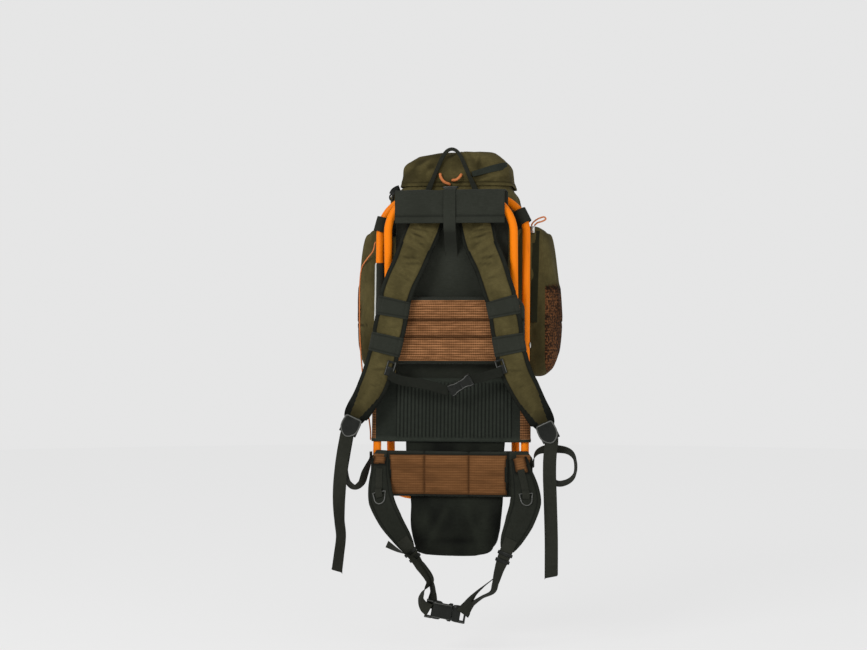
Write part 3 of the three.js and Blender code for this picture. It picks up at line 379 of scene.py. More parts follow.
def mirrored_profile(upper: Sequence[tuple[float, float]]) -> Array:
    """A closed profile from its upper half, listed from left to right."""
    top = np.array(upper)
    return np.vstack([top, top[::-1] * (1.0, -1.0)])


WEB_PROFILE = mirrored_profile(
    [(-1.0, 0.3), (-0.975, 0.8), (-0.93, 1.0), (-0.8, 0.94), (-0.4, 1.0), (0.0, 1.0), (0.4, 1.0), (0.8, 0.94),
     (0.93, 1.0), (0.975, 0.8), (1.0, 0.3)]
)
BAR_PROFILE = mirrored_profile(
    [(-1.0, 0.45), (-0.92, 0.8), (-0.72, 1.0), (-0.3, 1.0), (0.3, 1.0), (0.72, 1.0), (0.92, 0.8), (1.0, 0.45)]
)


def strip(rows: Array, width: float) -> Array:
    """Points of webbing: its flat section with sewn edges, carried along rows of places and facings."""
    return carry(WEB_PROFILE, rows[:, :3], rows[:, 3:6], width, WEBBING)


def web(rows: Array, width: float, count: int) -> Skin:
    """Webbing along a smooth path through rows of places and facings, closed at its ends."""
    return solid(strip(spline(rows, count), width))


def faced(rows: Rows) -> Array:
    """Rows of places with the direction to the viewer beside each."""
    spots = np.asarray(rows, float)
    return np.hstack([spots, np.broadcast_to(FRONT, spots.shape)])


def rod(path: Array, radius: float, sides: int = 12, closed: bool = False) -> Skin:
    """A round bar: a circle carried along a path, closed on itself or with domed ends.

    Args:
        path: The path's points.
        radius: The bar's radius in mm.
        sides: Points round the circle.
        closed: Whether the path's end meets its start.

    Returns:
        The closed skin.
    """
    turn = np.linspace(0.0, 2 * math.pi, sides, endpoint=False)
    circle = places(np.cos(turn), np.sin(turn))
    steps = np.roll(path, -1, axis=0) - np.roll(path, 1, axis=0) if closed else np.gradient(path, axis=0)
    along = unit(steps)
    lean = np.cov((path - path.mean(axis=0)).T) + np.eye(3) * 1e-6
    flat = np.linalg.eigh(lean)[1][:, 0]
    out = unit(flat - along * (along @ flat)[:, None])
    side = np.cross(along, out)
    size = np.full(len(path), radius)
    if not closed:
        size[0], size[-1] = radius * 0.55, radius * 0.55
    ring = side[:, None] * circle[None, :, :1] + out[:, None] * circle[None, :, 1:]
    points = path[:, None] + ring * size[:, None, None]
    return grid(points, round_across=True, round_along=closed, capped=not closed).outward()


def bar(start: Array, end: Array, facing: Array, width: float, thick: float) -> Skin:
    """A moulded bar: a rounded section carried from start to end, drawn in at both ends.

    Args:
        start: Middle of one end.
        end: Middle of the other.
        facing: Which way its thickness points.
        width: Its width in mm.
        thick: Its thickness in mm.

    Returns:
        The closed skin.
    """
    length = float(np.linalg.norm(end - start))
    inset = min(1.2, length / 4) / length
    share = np.array([0.0, inset * 0.35, inset, 0.5, 1 - inset, 1 - inset * 0.35, 1.0])
    draw = np.array([0.72, 0.92, 1.0, 1.0, 1.0, 0.92, 0.72])
    path = start + (end - start) * share[:, None]
    points = carry(BAR_PROFILE, path, facing, width * draw, thick * draw)
    return solid(points)


def rounded_rings(
    low_a: Array | float, high_a: Array | float, low_b: Array | float, high_b: Array | float,
    radius: Array | float, sides: tuple[int, int], corner: int,
) -> Array:
    """Rounded rectangles, one per row: quarter circles joined by straight runs, alike in every row.

    Args:
        low_a: Lower limit along the first axis.
        high_a: Upper limit along it.
        low_b: Lower limit along the second axis.
        high_b: Upper limit along it.
        radius: Corner radius.
        sides: Points inside each straight run along the first and the second axis.
        corner: Steps in each quarter circle.

    Returns:
        The rings, shape rows, columns, 2.
    """
    low_a, high_a, low_b, high_b, radius = (
        np.atleast_1d(limit)[:, None] for limit in (low_a, high_a, low_b, high_b, radius)
    )
    near_a, far_a, near_b, far_b = low_a + radius, high_a - radius, low_b + radius, high_b - radius
    turn = np.linspace(0.0, math.pi / 2, corner + 1)
    arcs = []
    for k, (a, b) in enumerate(((far_a, far_b), (near_a, far_b), (near_a, near_b), (far_a, near_b))):
        angle = turn + k * math.pi / 2
        arcs.append(places(a + radius * np.cos(angle), b + radius * np.sin(angle)))
    runs = []
    for k, arc in enumerate(arcs):
        share = np.linspace(0.0, 1.0, sides[k % 2] + 2)[1:-1, None]
        after = arcs[(k + 1) % 4]
        runs += [arc, arc[:, -1:] * (1 - share) + after[:, :1] * share]
    return np.concatenate(runs, axis=1)


def shell(table_rows: Array, z: Array, sides: tuple[int, int], corner: int) -> Array:
    """Rounded rings of a table's outlines at each height, moved aside where the table says so.

    Args:
        table_rows: Height, half width, back, front, corner radius and any move aside.
        z: The heights.
        sides: Points inside each straight run, as for rounded_rings.
        corner: Steps in each quarter circle.

    Returns:
        Rows of points.
    """
    half, back, front, radius, *moved = through(table_rows, z).T
    shift = moved[0] if moved else 0.0
    limit = np.minimum(half, (front - back) / 2) - 0.2
    ring = rounded_rings(shift - half, shift + half, back, front, np.minimum(radius, limit), sides, corner)
    return places(ring[..., 0], ring[..., 1], z[:, None])


def ring_out(points: Array) -> Array:
    """Outward directions of a grid of closed rings, from the slopes along and across it.

    Args:
        points: Rows of points.

    Returns:
        A direction at each point.
    """
    across = np.roll(points, -1, axis=1) - np.roll(points, 1, axis=1)
    along = np.gradient(points, axis=0)
    normal = unit(np.cross(across, along))
    away = points - points.mean(axis=1, keepdims=True)
    return normal * np.where(np.sum(normal * away) < 0, -1.0, 1.0)


def drawn_in(rows: Array, shares: Sequence[float], rise: float, at_start: bool) -> Array:
    """Closes a grid of rings at one end: copies of the end ring shrunk to its middle, each a step out.

    Args:
        rows: The grid of rings, shape rows, columns, 3.
        shares: Sizes of the copies, from large to small.
        rise: How far the last copy stands out along Z, in mm.
        at_start: Whether the first ring is closed rather than the last.

    Returns:
        The longer grid.
    """
    ring = rows[0] if at_start else rows[-1]
    middle = ring.mean(axis=0)
    out = np.array([0.0, 0.0, rise])
    copies = np.stack([middle + (ring - middle) * share + out * (1 - share**2) for share in shares])
    return np.concatenate([copies[::-1], rows] if at_start else [rows, copies])


class Shader:
    """Adds nodes to one shader tree and joins them."""

    def __init__(self, tree: bpy.types.NodeTree) -> None:
        """Keeps the tree that the nodes go into."""
        self.tree = tree

    def add(self, kind: str, **settings: Any) -> bpy.types.Node:
        """A new node with its settings.

        Args:
            kind: The node's type.
            settings: Values of its properties.

        Returns:
            The node.
        """
        node = self.tree.nodes.new(kind)
        for name, value in settings.items():
            setattr(node, name, value)
        return node

    def feed(self, socket: Socket, value: Any) -> None:
        """Joins a socket to another one, or sets its value.

        Args:
            socket: The socket that takes the value.
            value: A socket, a number or a colour.
        """
        if isinstance(value, Socket):
            self.tree.links.new(value, socket)
        else:
            socket.default_value = (*value, 1.0) if socket.type == "RGBA" else value

    def result(self, node: bpy.types.Node, values: dict[Any, Any], output: int | str = 0) -> Socket:
        """What a node gives for its inputs' values.

        Args:
            node: The node.
            values: A value for each of its inputs that is set, by number or name.
            output: Which of its outputs to take.

        Returns:
            The output's socket.
        """
        for name, value in values.items():
            self.feed(node.inputs[name], value)
        return node.outputs[output]

    def math(self, operation: str, *numbers: Any) -> Socket:
        """A number worked out from up to three others."""
        return self.result(self.add("ShaderNodeMath", operation=operation), dict(enumerate(numbers)))

    def times(self, first: Any, second: Any) -> Socket:
        """Two numbers multiplied."""
        return self.math("MULTIPLY", first, second)

    def wave(self, number: Any, rate: float) -> Socket:
        """The sine of a number times a rate."""
        return self.math("SINE", self.times(number, rate))

    def span(self, value: Any, start: float, end: float, low: float = 0.0, high: float = 1.0) -> Socket:
        """A number taken from one range to another, eased and kept inside it."""
        node = self.add("ShaderNodeMapRange", interpolation_type="SMOOTHSTEP")
        return self.result(node, dict(enumerate((value, start, end, low, high))))

    def blend(self, share: Any, first: Any, second: Any) -> Socket:
        """Two colours blended by a share."""
        return self.result(self.add("ShaderNodeMix", data_type="RGBA"), {0: share, 6: first, 7: second}, 2)

    def scaled(self, place: Any, factors: tuple[float, float, float]) -> Socket:
        """A place with each coordinate multiplied by its own factor."""
        return self.result(self.add("ShaderNodeVectorMath", operation="MULTIPLY"), {0: place, 1: factors})

    def noise(self, place: Any, scale: float, detail: float) -> Socket:
        """Soft noise from 0 to 1."""
        values = {"Vector": place, "Scale": scale, "Detail": detail}
        return self.result(self.add("ShaderNodeTexNoise"), values)

    def parts(self, place: Any) -> list[Socket]:
        """A place's three coordinates.

        Args:
            place: The place.

        Returns:
            Sockets with x, y and z.
        """
        node = self.add("ShaderNodeSeparateXYZ")
        self.feed(node.inputs[0], place)
        return list(node.outputs)


class Effect(Enum):
    """The shared effects."""

    WEAVE = "Pack cloth weave"
    RIBS = "Webbing herringbone"
    KNIT = "Spacer mesh knit"
    BRAID = "Cord braid"
    NET = "Pocket net"
    COAT = "Powder coat scuffs"
    MOTTLE = "Dye and dust"


class EffectGroup(Shader):
    """A node group that reads a place and gives a shade, and a height where it stands out."""

    def __init__(self, effect: Effect) -> None:
        """Makes the group and fills it.

        Args:
            effect: The effect that it holds.
        """
        super().__init__(bpy.data.node_groups.new(effect.value, "ShaderNodeTree"))
        self.tree.interface.new_socket("Place", in_out="INPUT", socket_type="NodeSocketVector")
        self.place = self.add("NodeGroupInput").outputs[0]
        fillings = {
            Effect.WEAVE: self.weave, Effect.RIBS: self.ribs, Effect.KNIT: self.knit,
            Effect.BRAID: self.braid, Effect.NET: self.net, Effect.COAT: self.coat,
            Effect.MOTTLE: self.mottle,
        }
        fillings[effect]()

    def give(self, shade: Socket, height: Socket | None = None) -> None:
        """Sends the results out of the group, each by an output of its own.

        Args:
            shade: The share of a finish's light colour.
            height: The height for its bump, where it has one.
        """
        results = {"Shade": shade} if height is None else {"Shade": shade, "Height": height}
        for name in results:
            self.tree.interface.new_socket(name, in_out="OUTPUT", socket_type="NodeSocketFloat")
        out = self.add("NodeGroupOutput")
        for name, value in results.items():
            self.feed(out.inputs[name], value)

    def weave(self) -> None:
        """Pack cloth: warp and weft ridges that swap on a chequerboard, 900 threads to the metre."""
        threads = self.scaled(self.place, (900.0, 900.0, 1.0))
        over = self.result(self.add("ShaderNodeTexChecker"), {"Vector": threads, "Scale": 1.0}, "Fac")
        warp, weft = (self.math("ABSOLUTE", self.wave(number, math.pi)) for number in self.parts(threads)[:2])
        under = self.math("SUBTRACT", 1.0, over)
        height = self.math("ADD", self.times(warp, over), self.times(weft, under))
        slub = self.noise(self.scaled(self.place, (60.0, 900.0, 1.0)), 1.0, 1.0)
        self.give(self.math("MULTIPLY_ADD", height, 0.5, self.times(slub, 0.7)), height)

    def ribs(self) -> None:
        """Webbing: herringbone ridges across the run, from a saw tooth over the width."""
        across, along, _ = self.parts(self.place)
        tooth = self.math("PINGPONG", self.times(across, 420.0), 1.0)
        run = self.math("ADD", self.times(along, 520.0), tooth)
        height = self.math("ABSOLUTE", self.wave(run, math.pi))
        self.give(self.math("MULTIPLY_ADD", height, 0.7, 0.3), height)

    def knit(self) -> None:
        """Spacer mesh: knitted rows 5 mm high crossed by finer upright threads, lighter in stretches."""
        across, along, _ = self.parts(self.place)
        row = self.wave(along, 2 * math.pi / 0.005)
        thread = self.wave(across, 2 * math.pi / 0.0036)
        height = self.math("MULTIPLY_ADD", row, 0.36, self.math("MULTIPLY_ADD", thread, 0.14, 0.5))
        stretch = self.noise(self.scaled(self.place, (36.0, 200.0, 1.0)), 1.0, 1.0)
        self.give(self.times(height, self.span(stretch, 0.3, 0.7, 0.65, 1.35)), height)

    def strands(self, around: Socket, run: Socket) -> Socket:
        """Height of two sets of strands that cross on the slant, with gaps between them."""
        crossed = self.times(*(self.math("SINE", self.math(way, around, run)) for way in ("ADD", "SUBTRACT")))
        return self.span(crossed, -0.8, 0.8)

    def braid(self) -> None:
        """Cord: strands that cross on the slant, by the place on the cord's skin."""
        across, along, _ = self.parts(self.place)
        height = self.strands(self.times(across, 2200.0), self.times(along, 1500.0))
        self.give(self.span(height, 0.0, 1.0, 0.45, 1.0), height)

    def net(self) -> None:
        """Pocket net: strands laid over front and side by distance across and height, with slack patches."""
        x, y, z = self.parts(self.place)
        across = self.math("ADD", self.math("ABSOLUTE", x), y)
        height = self.strands(self.times(across, 620.0), self.times(z, 560.0))
        slack = self.span(self.noise(self.place, 230.0, 2.0), 0.4, 0.62, 0.1, 1.0)
        self.give(self.times(self.span(self.span(height, 0.0, 1.0), 0.0, 1.0, 0.55, 1.0), slack), height)

    def coat(self) -> None:
        """Powder coat or moulding: a fine peel all over, and rubbed streaks that run down it."""
        streak = self.noise(self.scaled(self.place, (120.0, 120.0, 14.0)), 1.0, 4.0)
        clean = self.math("SUBTRACT", 1.0, self.span(streak, 0.6, 0.78))
        self.give(clean, self.noise(self.place, 1400.0, 1.0))

    def mottle(self) -> None:
        """Uneven dye and dust: broad patches with a finer grain over them."""
        broad = self.noise(self.place, 16.0, 3.0)
        fine = self.noise(self.place, 150.0, 2.0)
        tone = self.math("ADD", self.times(broad, 0.65), self.times(fine, 0.35))
        self.give(self.span(tone, 0.32, 0.68))


@dataclass(frozen=True)
class Finish:
    """A finish: its pattern and colours, how rough it is, and how deep its texture stands."""

    name: str
    pattern: Effect
    colour: Colour
    dark: Colour
    roughness: float = 0.85
    specular: float = 0.2
    relief: float = 0.25
    depth: float = 0.0004
    sheen: float = 0.0
    metal: float = 0.0
    patchy: float = 0.3

    def build(self, effects: dict[Effect, bpy.types.NodeTree]) -> bpy.types.Material:
        """Makes the material: pattern, uneven dye, and darkening for dark seams and painted shade, into one
        shader.

        Args:
            effects: The shared effects.

        Returns:
            The material.
        """
        material = bpy.data.materials.new(self.name)
        material.use_nodes = True
        shader = Shader(material.node_tree)
        surface = material.node_tree.nodes["Principled BSDF"]
        place = shader.add("ShaderNodeTexCoord").outputs["Object"]
        cloth = shader.add("ShaderNodeUVMap", uv_map="cloth").outputs[0]
        spot = place if self.pattern in (Effect.NET, Effect.COAT) else cloth
        pattern = shader.add("ShaderNodeGroup", node_tree=effects[self.pattern])
        shade = shader.result(pattern, {"Place": spot}, "Shade")
        mottle = shader.add("ShaderNodeGroup", node_tree=effects[Effect.MOTTLE])
        tone = shader.result(mottle, {"Place": place}, "Shade")
        # Dark seams and painted shade: this point attribute darkens the colour towards 0.35 of the dark
        # colour at sewn seams, and where folds, wrinkles, grooves and recesses are painted as shaded.
        seam_and_shade = shader.add("ShaderNodeAttribute", attribute_name="seam_and_shade").outputs["Fac"]
        colour = shader.blend(shade, self.dark, self.colour)
        faded = shader.blend(shader.times(tone, self.patchy), colour, self.dark)
        bump = {"Strength": self.relief, "Distance": self.depth, "Height": pattern.outputs["Height"]}
        rough = self.roughness - 0.06, min(self.roughness + 0.06, 1.0)
        settings = {
            "Base Color": shader.blend(seam_and_shade, faded, tuple(part * 0.35 for part in self.dark)),
            "Roughness": shader.span(tone, 0.0, 1.0, *rough),
            "Normal": shader.result(shader.add("ShaderNodeBump"), bump),
            "Metallic": self.metal,
            "Specular IOR Level": self.specular,
            "Sheen Weight": self.sheen,
        }
        shader.result(surface, settings)
        return material


class Look(Enum):
    """Every finish on the pack."""

    PAINT = Finish(
        "orange_powder_coat", Effect.COAT, (0.92, 0.22, 0.001), (0.64, 0.13, 0.001), 0.46, 0.12, 0.06, 0.0002,
        patchy=0.1,
    )
    STEEL = Finish(
        "zinc_steel", Effect.COAT, (0.6, 0.6, 0.57), (0.3, 0.3, 0.28), 0.35, 0.5, 0.05, 0.0002, metal=1.0
    )
    PLASTIC = Finish(
        "black_acetal", Effect.COAT, (0.0065, 0.0075, 0.006), (0.02, 0.021, 0.017), 0.3, 0.2, 0.12, 0.0002
    )
    # Grey for the wire rings, and for the thin lips and beads along black moulded edges, which are painted
    # highlights.
    RING = Finish(
        "grey_acetal_and_highlight", Effect.COAT, (0.065, 0.067, 0.06), (0.12, 0.12, 0.108), 0.3, 0.45, 0.12, 0.0002
    )
    BLACK = Finish(
        "black_pack_cloth", Effect.WEAVE, (0.033, 0.036, 0.028), (0.015, 0.0165, 0.012), 0.92, 0.1, 0.3,
        sheen=0.03,
    )
    BAND = Finish(
        "black_band_cloth", Effect.WEAVE, (0.034, 0.04, 0.031), (0.011, 0.013, 0.01), 0.88, 0.1, 0.3,
        sheen=0.02,
    )
    POUCH = Finish(
        "black_pouch_cloth", Effect.WEAVE, (0.02, 0.023, 0.016), (0.006, 0.007, 0.005), 0.8, 0.1, 0.3
    )
    EDGE = Finish(
        "black_edge_cloth", Effect.WEAVE, (0.022, 0.024, 0.018), (0.008, 0.009, 0.007), 0.9, 0.08, 0.3
    )
    GREEN = Finish(
        "olive_pack_cloth", Effect.WEAVE, (0.126, 0.102, 0.039), (0.046, 0.038, 0.0145), 0.92, 0.08, 0.3,
        patchy=0.55,
    )
    ZIP = Finish("olive_zip_tape", Effect.RIBS, (0.028, 0.029, 0.014), (0.008, 0.009, 0.005), 0.85, 0.1, 0.6)
    TAPE = Finish("dark_tape", Effect.RIBS, (0.019, 0.021, 0.015), (0.006, 0.007, 0.005), 0.8, 0.12, 0.45)
    RUST = Finish(
        "rust_spacer_mesh", Effect.KNIT, (0.4, 0.184, 0.078), (0.06, 0.024, 0.008), 0.94, 0.05, 0.6, 0.001
    )
    LUMBAR = Finish(
        "brown_spacer_mesh", Effect.KNIT, (0.222, 0.099, 0.037), (0.125, 0.054, 0.0195), 0.94, 0.05, 0.4,
        0.0008,
    )
    POCKET = Finish(
        "dark_pocket_net", Effect.NET, (0.22, 0.088, 0.032), (0.014, 0.01, 0.007), 0.94, 0.06, 0.6, 0.001
    )
    WEBBING = Finish(
        "black_webbing", Effect.RIBS, (0.027, 0.028, 0.021), (0.008, 0.009, 0.006), 0.85, 0.12, 0.45
    )
    CORD = Finish("orange_cord", Effect.BRAID, (0.76, 0.27, 0.095), (0.38, 0.09, 0.018), 0.75, 0.2, 0.5)
    PALE = Finish("pale_wrap_edge", Effect.WEAVE, (0.62, 0.62, 0.58), (0.42, 0.42, 0.39), 0.8, 0.2, 0.2)


class Bench:
    """Puts skins into the scene as pieces that ride on the frame."""

    def __init__(self) -> None:
        """Makes every finish once."""
        effects = {effect: EffectGroup(effect).tree for effect in Effect}
        self.materials = {look: look.value.build(effects) for look in Look}

    def mesh(self, name: str, skin: Skin, looks: Sequence[Look]) -> bpy.types.Object:
        """A skin as a smooth mesh object with its UVs, its darkening for seams and painted shade, and its
        finishes.

        Args:
            name: The object's name.
            skin: The arrays.
            looks: Finishes that the skin's numbers choose from.

        Returns:
            The object.
        """
        mesh = bpy.data.meshes.new(name)
        mesh.vertices.add(len(skin.points))
        mesh.vertices.foreach_set("co", ((skin.points + HANG) * MM).ravel())
        mesh.loops.add(skin.faces.size)
        mesh.loops.foreach_set("vertex_index", skin.faces.ravel().astype(np.int32))
        mesh.polygons.add(len(skin.faces))
        mesh.polygons.foreach_set("loop_start", np.arange(0, skin.faces.size, 4, dtype=np.int32))
        mesh.polygons.foreach_set("material_index", skin.look.astype(np.int32))
        mesh.polygons.foreach_set("use_smooth", np.ones(len(skin.faces), bool))
        mesh.uv_layers.new(name="cloth").data.foreach_set("uv", skin.uv.ravel())
        mesh.attributes.new("seam_and_shade", "FLOAT", "POINT").data.foreach_set("value", skin.seam_and_shade)
        mesh.update(calc_edges=True)
        for look in looks:
            mesh.materials.append(self.materials[look])
        piece = bpy.data.objects.new(name, mesh)
        bpy.context.scene.collection.objects.link(piece)
        return piece

    def lay(
        self, name: str, skin: Skin, looks: Sequence[Look], slot: Slot, nodes: Sequence[str],
        wall: float = 0.0,
    ) -> bpy.types.Object:
        """A piece of the pack, riding on its one body and standing for the frame's nodes.

        Args:
            name: The piece's name.
            skin: Its arrays.
            looks: Its finishes.
            slot: The record's slot for its finish; not used.
            nodes: Frame nodes that it stands for.
            wall: Thickness in mm to give to an open sheet.

        Returns:
            The piece.
        """
        piece = self.mesh(name, skin, looks)
        if wall:
            thicken = piece.modifiers.new("wall", "SOLIDIFY")
            thicken.thickness = wall * MM
            thicken.offset = 0.0
        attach(piece, "root")
        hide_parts(*nodes)
        Log.info("%s: %d faces", name, len(skin.faces))
        return piece


@dataclass(frozen=True)
class Filling:
    """A short cloth simulation that blows a padded piece up between its held seams."""

    pressure: float = 4.0
    frames: int = 16
    limit: float = 3.0

    def swell(self, piece: bpy.types.Object, held: Array) -> None:
        """Runs the simulation, limits how far each point moves, and keeps the result as the mesh.

        Args:
            piece: The padded piece.
            held: Which of its points stay where they are.
        """
        mesh = piece.data
        before = np.empty(len(mesh.vertices) * 3)
        mesh.vertices.foreach_get("co", before)
        pins = piece.vertex_groups.new(name="held")
        pins.add(np.flatnonzero(held).tolist(), 1.0, "REPLACE")
        cloth = piece.modifiers.new("filling", "CLOTH")
        cloth.settings.vertex_group_mass = pins.name
        cloth.settings.use_pressure = True
        cloth.settings.uniform_pressure_force = self.pressure
        cloth.settings.effector_weights.gravity = 0.0
        cloth.settings.quality = 4
        cloth.settings.bending_stiffness = 0.2
        cloth.collision_settings.use_collision = False
        cloth.point_cache.frame_start = 1
        cloth.point_cache.frame_end = self.frames
        scene = bpy.context.scene
        for frame in range(1, self.frames + 1):
            scene.frame_set(frame)
        blown = piece.evaluated_get(bpy.context.evaluated_depsgraph_get()).data
        after = np.empty_like(before)
        blown.vertices.foreach_get("co", after)
        move = (after - before).reshape(-1, 3)
        far = np.linalg.norm(move, axis=1, keepdims=True)
        move = np.nan_to_num(move * np.minimum(1.0, self.limit * MM / np.maximum(far, 1e-9)))
        piece.modifiers.remove(cloth)
        scene.frame_set(1)
        mesh.vertices.foreach_set("co", before + move.ravel())
        mesh.update()
        most = float(np.linalg.norm(move, axis=1).max()) / MM
        Log.info("%s: filled, most moved %.2f mm", piece.name, most)


@dataclass
class Studio:
    """Pale floor, even light and the camera of the picture."""

    turn: float = 7.5
    distance: float = 3600.0
    aim: float = -36.6
    height: float = -350.0
    picture: tuple[int, int] = (867, 650)
    millimetres_per_pixel: float = 2.0
    floor: float = -985.0
    floor_radius: float = 6000.0
    seen: float = 0.79
    ambient: float = 0.5

    def build(self) -> None:
        """Sets the world, the floor, the lights and the camera."""
        bpy.context.scene.view_settings.view_transform = "Standard"
        self.fill_world()
        self.lay_floor()
        self.hang_light("key_light", (-1.7, -2.9, 1.3), 1.5, 62.0)
        self.hang_light("fill_light", (2.4, -2.8, 0.3), 1.8, 26.0)
        self.set_camera()

    def fill_world(self) -> None:
        """A pale world that the camera sees at full strength and that lights the pack more softly."""
        world = bpy.data.worlds.new("pale_room")
        bpy.context.scene.world = world
        world.use_nodes = True
        ground = world.node_tree.nodes["Background"]
        ground.inputs["Color"].default_value = (1.0, 1.0, 1.0, 1.0)
        shader = Shader(world.node_tree)
        direct = shader.add("ShaderNodeLightPath").outputs["Is Camera Ray"]
        strength = shader.math("MULTIPLY_ADD", direct, self.seen - self.ambient, self.ambient)
        shader.feed(ground.inputs["Strength"], strength)

    def lay_floor(self) -> None:
        """A wide round floor: one flat face with 64 corners on a circle."""
        turn = np.linspace(0.0, 2 * math.pi, 64, endpoint=False)
        rim = places(self.floor_radius * np.cos(turn), self.floor_radius * np.sin(turn), self.floor)
        material = bpy.data.materials.new("pale_floor")
        material.use_nodes = True
        surface = material.node_tree.nodes["Principled BSDF"]
        surface.inputs["Base Color"].default_value = (0.2, 0.2, 0.2, 1.0)
        surface.inputs["Emission Color"].default_value = (1.0, 1.0, 1.0, 1.0)
        surface.inputs["Emission Strength"].default_value = 0.67
        surface.inputs["Roughness"].default_value = 1.0
        surface.inputs["Specular IOR Level"].default_value = 0.0
        mesh = bpy.data.meshes.new("floor")
        mesh.from_pydata((rim + HANG) * MM, [], [range(64)])
        mesh.materials.append(material)
        floor = bpy.data.objects.new("floor", mesh)
        bpy.context.scene.collection.objects.link(floor)

    def hang_light(self, name: str, place: tuple[float, float, float], size: float, power: float) -> None:
        """One soft square light that points at the pack's middle.

        Args:
            name: The light's name.
            place: Where it hangs, in metres.
            size: Its side in metres.
            power: Its power in watts.
        """
        light = bpy.data.lights.new(name, "AREA")
        light.size = size
        light.energy = power
        lamp = bpy.data.objects.new(name, light)
        lamp.location = place
        lamp.rotation_euler = (Vector((0.0, 0.0, -0.4)) - Vector(place)).to_track_quat("-Z", "Y").to_euler()
        bpy.context.scene.collection.objects.link(lamp)

    def set_camera(self) -> None:
        """The picture's view: a level camera turned a little to the pack's right."""
        angle = math.radians(self.turn)
        ahead = np.array([-math.sin(angle), math.cos(angle), 0.0])
        aside = np.array([math.cos(angle), math.sin(angle), 0.0])
        place = (aside * self.aim + np.array([0.0, 0.0, self.height]) - ahead * self.distance + HANG) * MM
        camera = bpy.data.objects.new("camera", bpy.data.cameras.new("camera"))
        camera.data.sensor_width = 36.0
        camera.data.lens = 36.0 * self.distance / (self.picture[0] * self.millimetres_per_pixel)
        camera.location = place
        camera.rotation_euler = Vector(ahead).to_track_quat("-Z", "Y").to_euler()
        bpy.context.scene.collection.objects.link(camera)
        bpy.context.scene.camera = camera


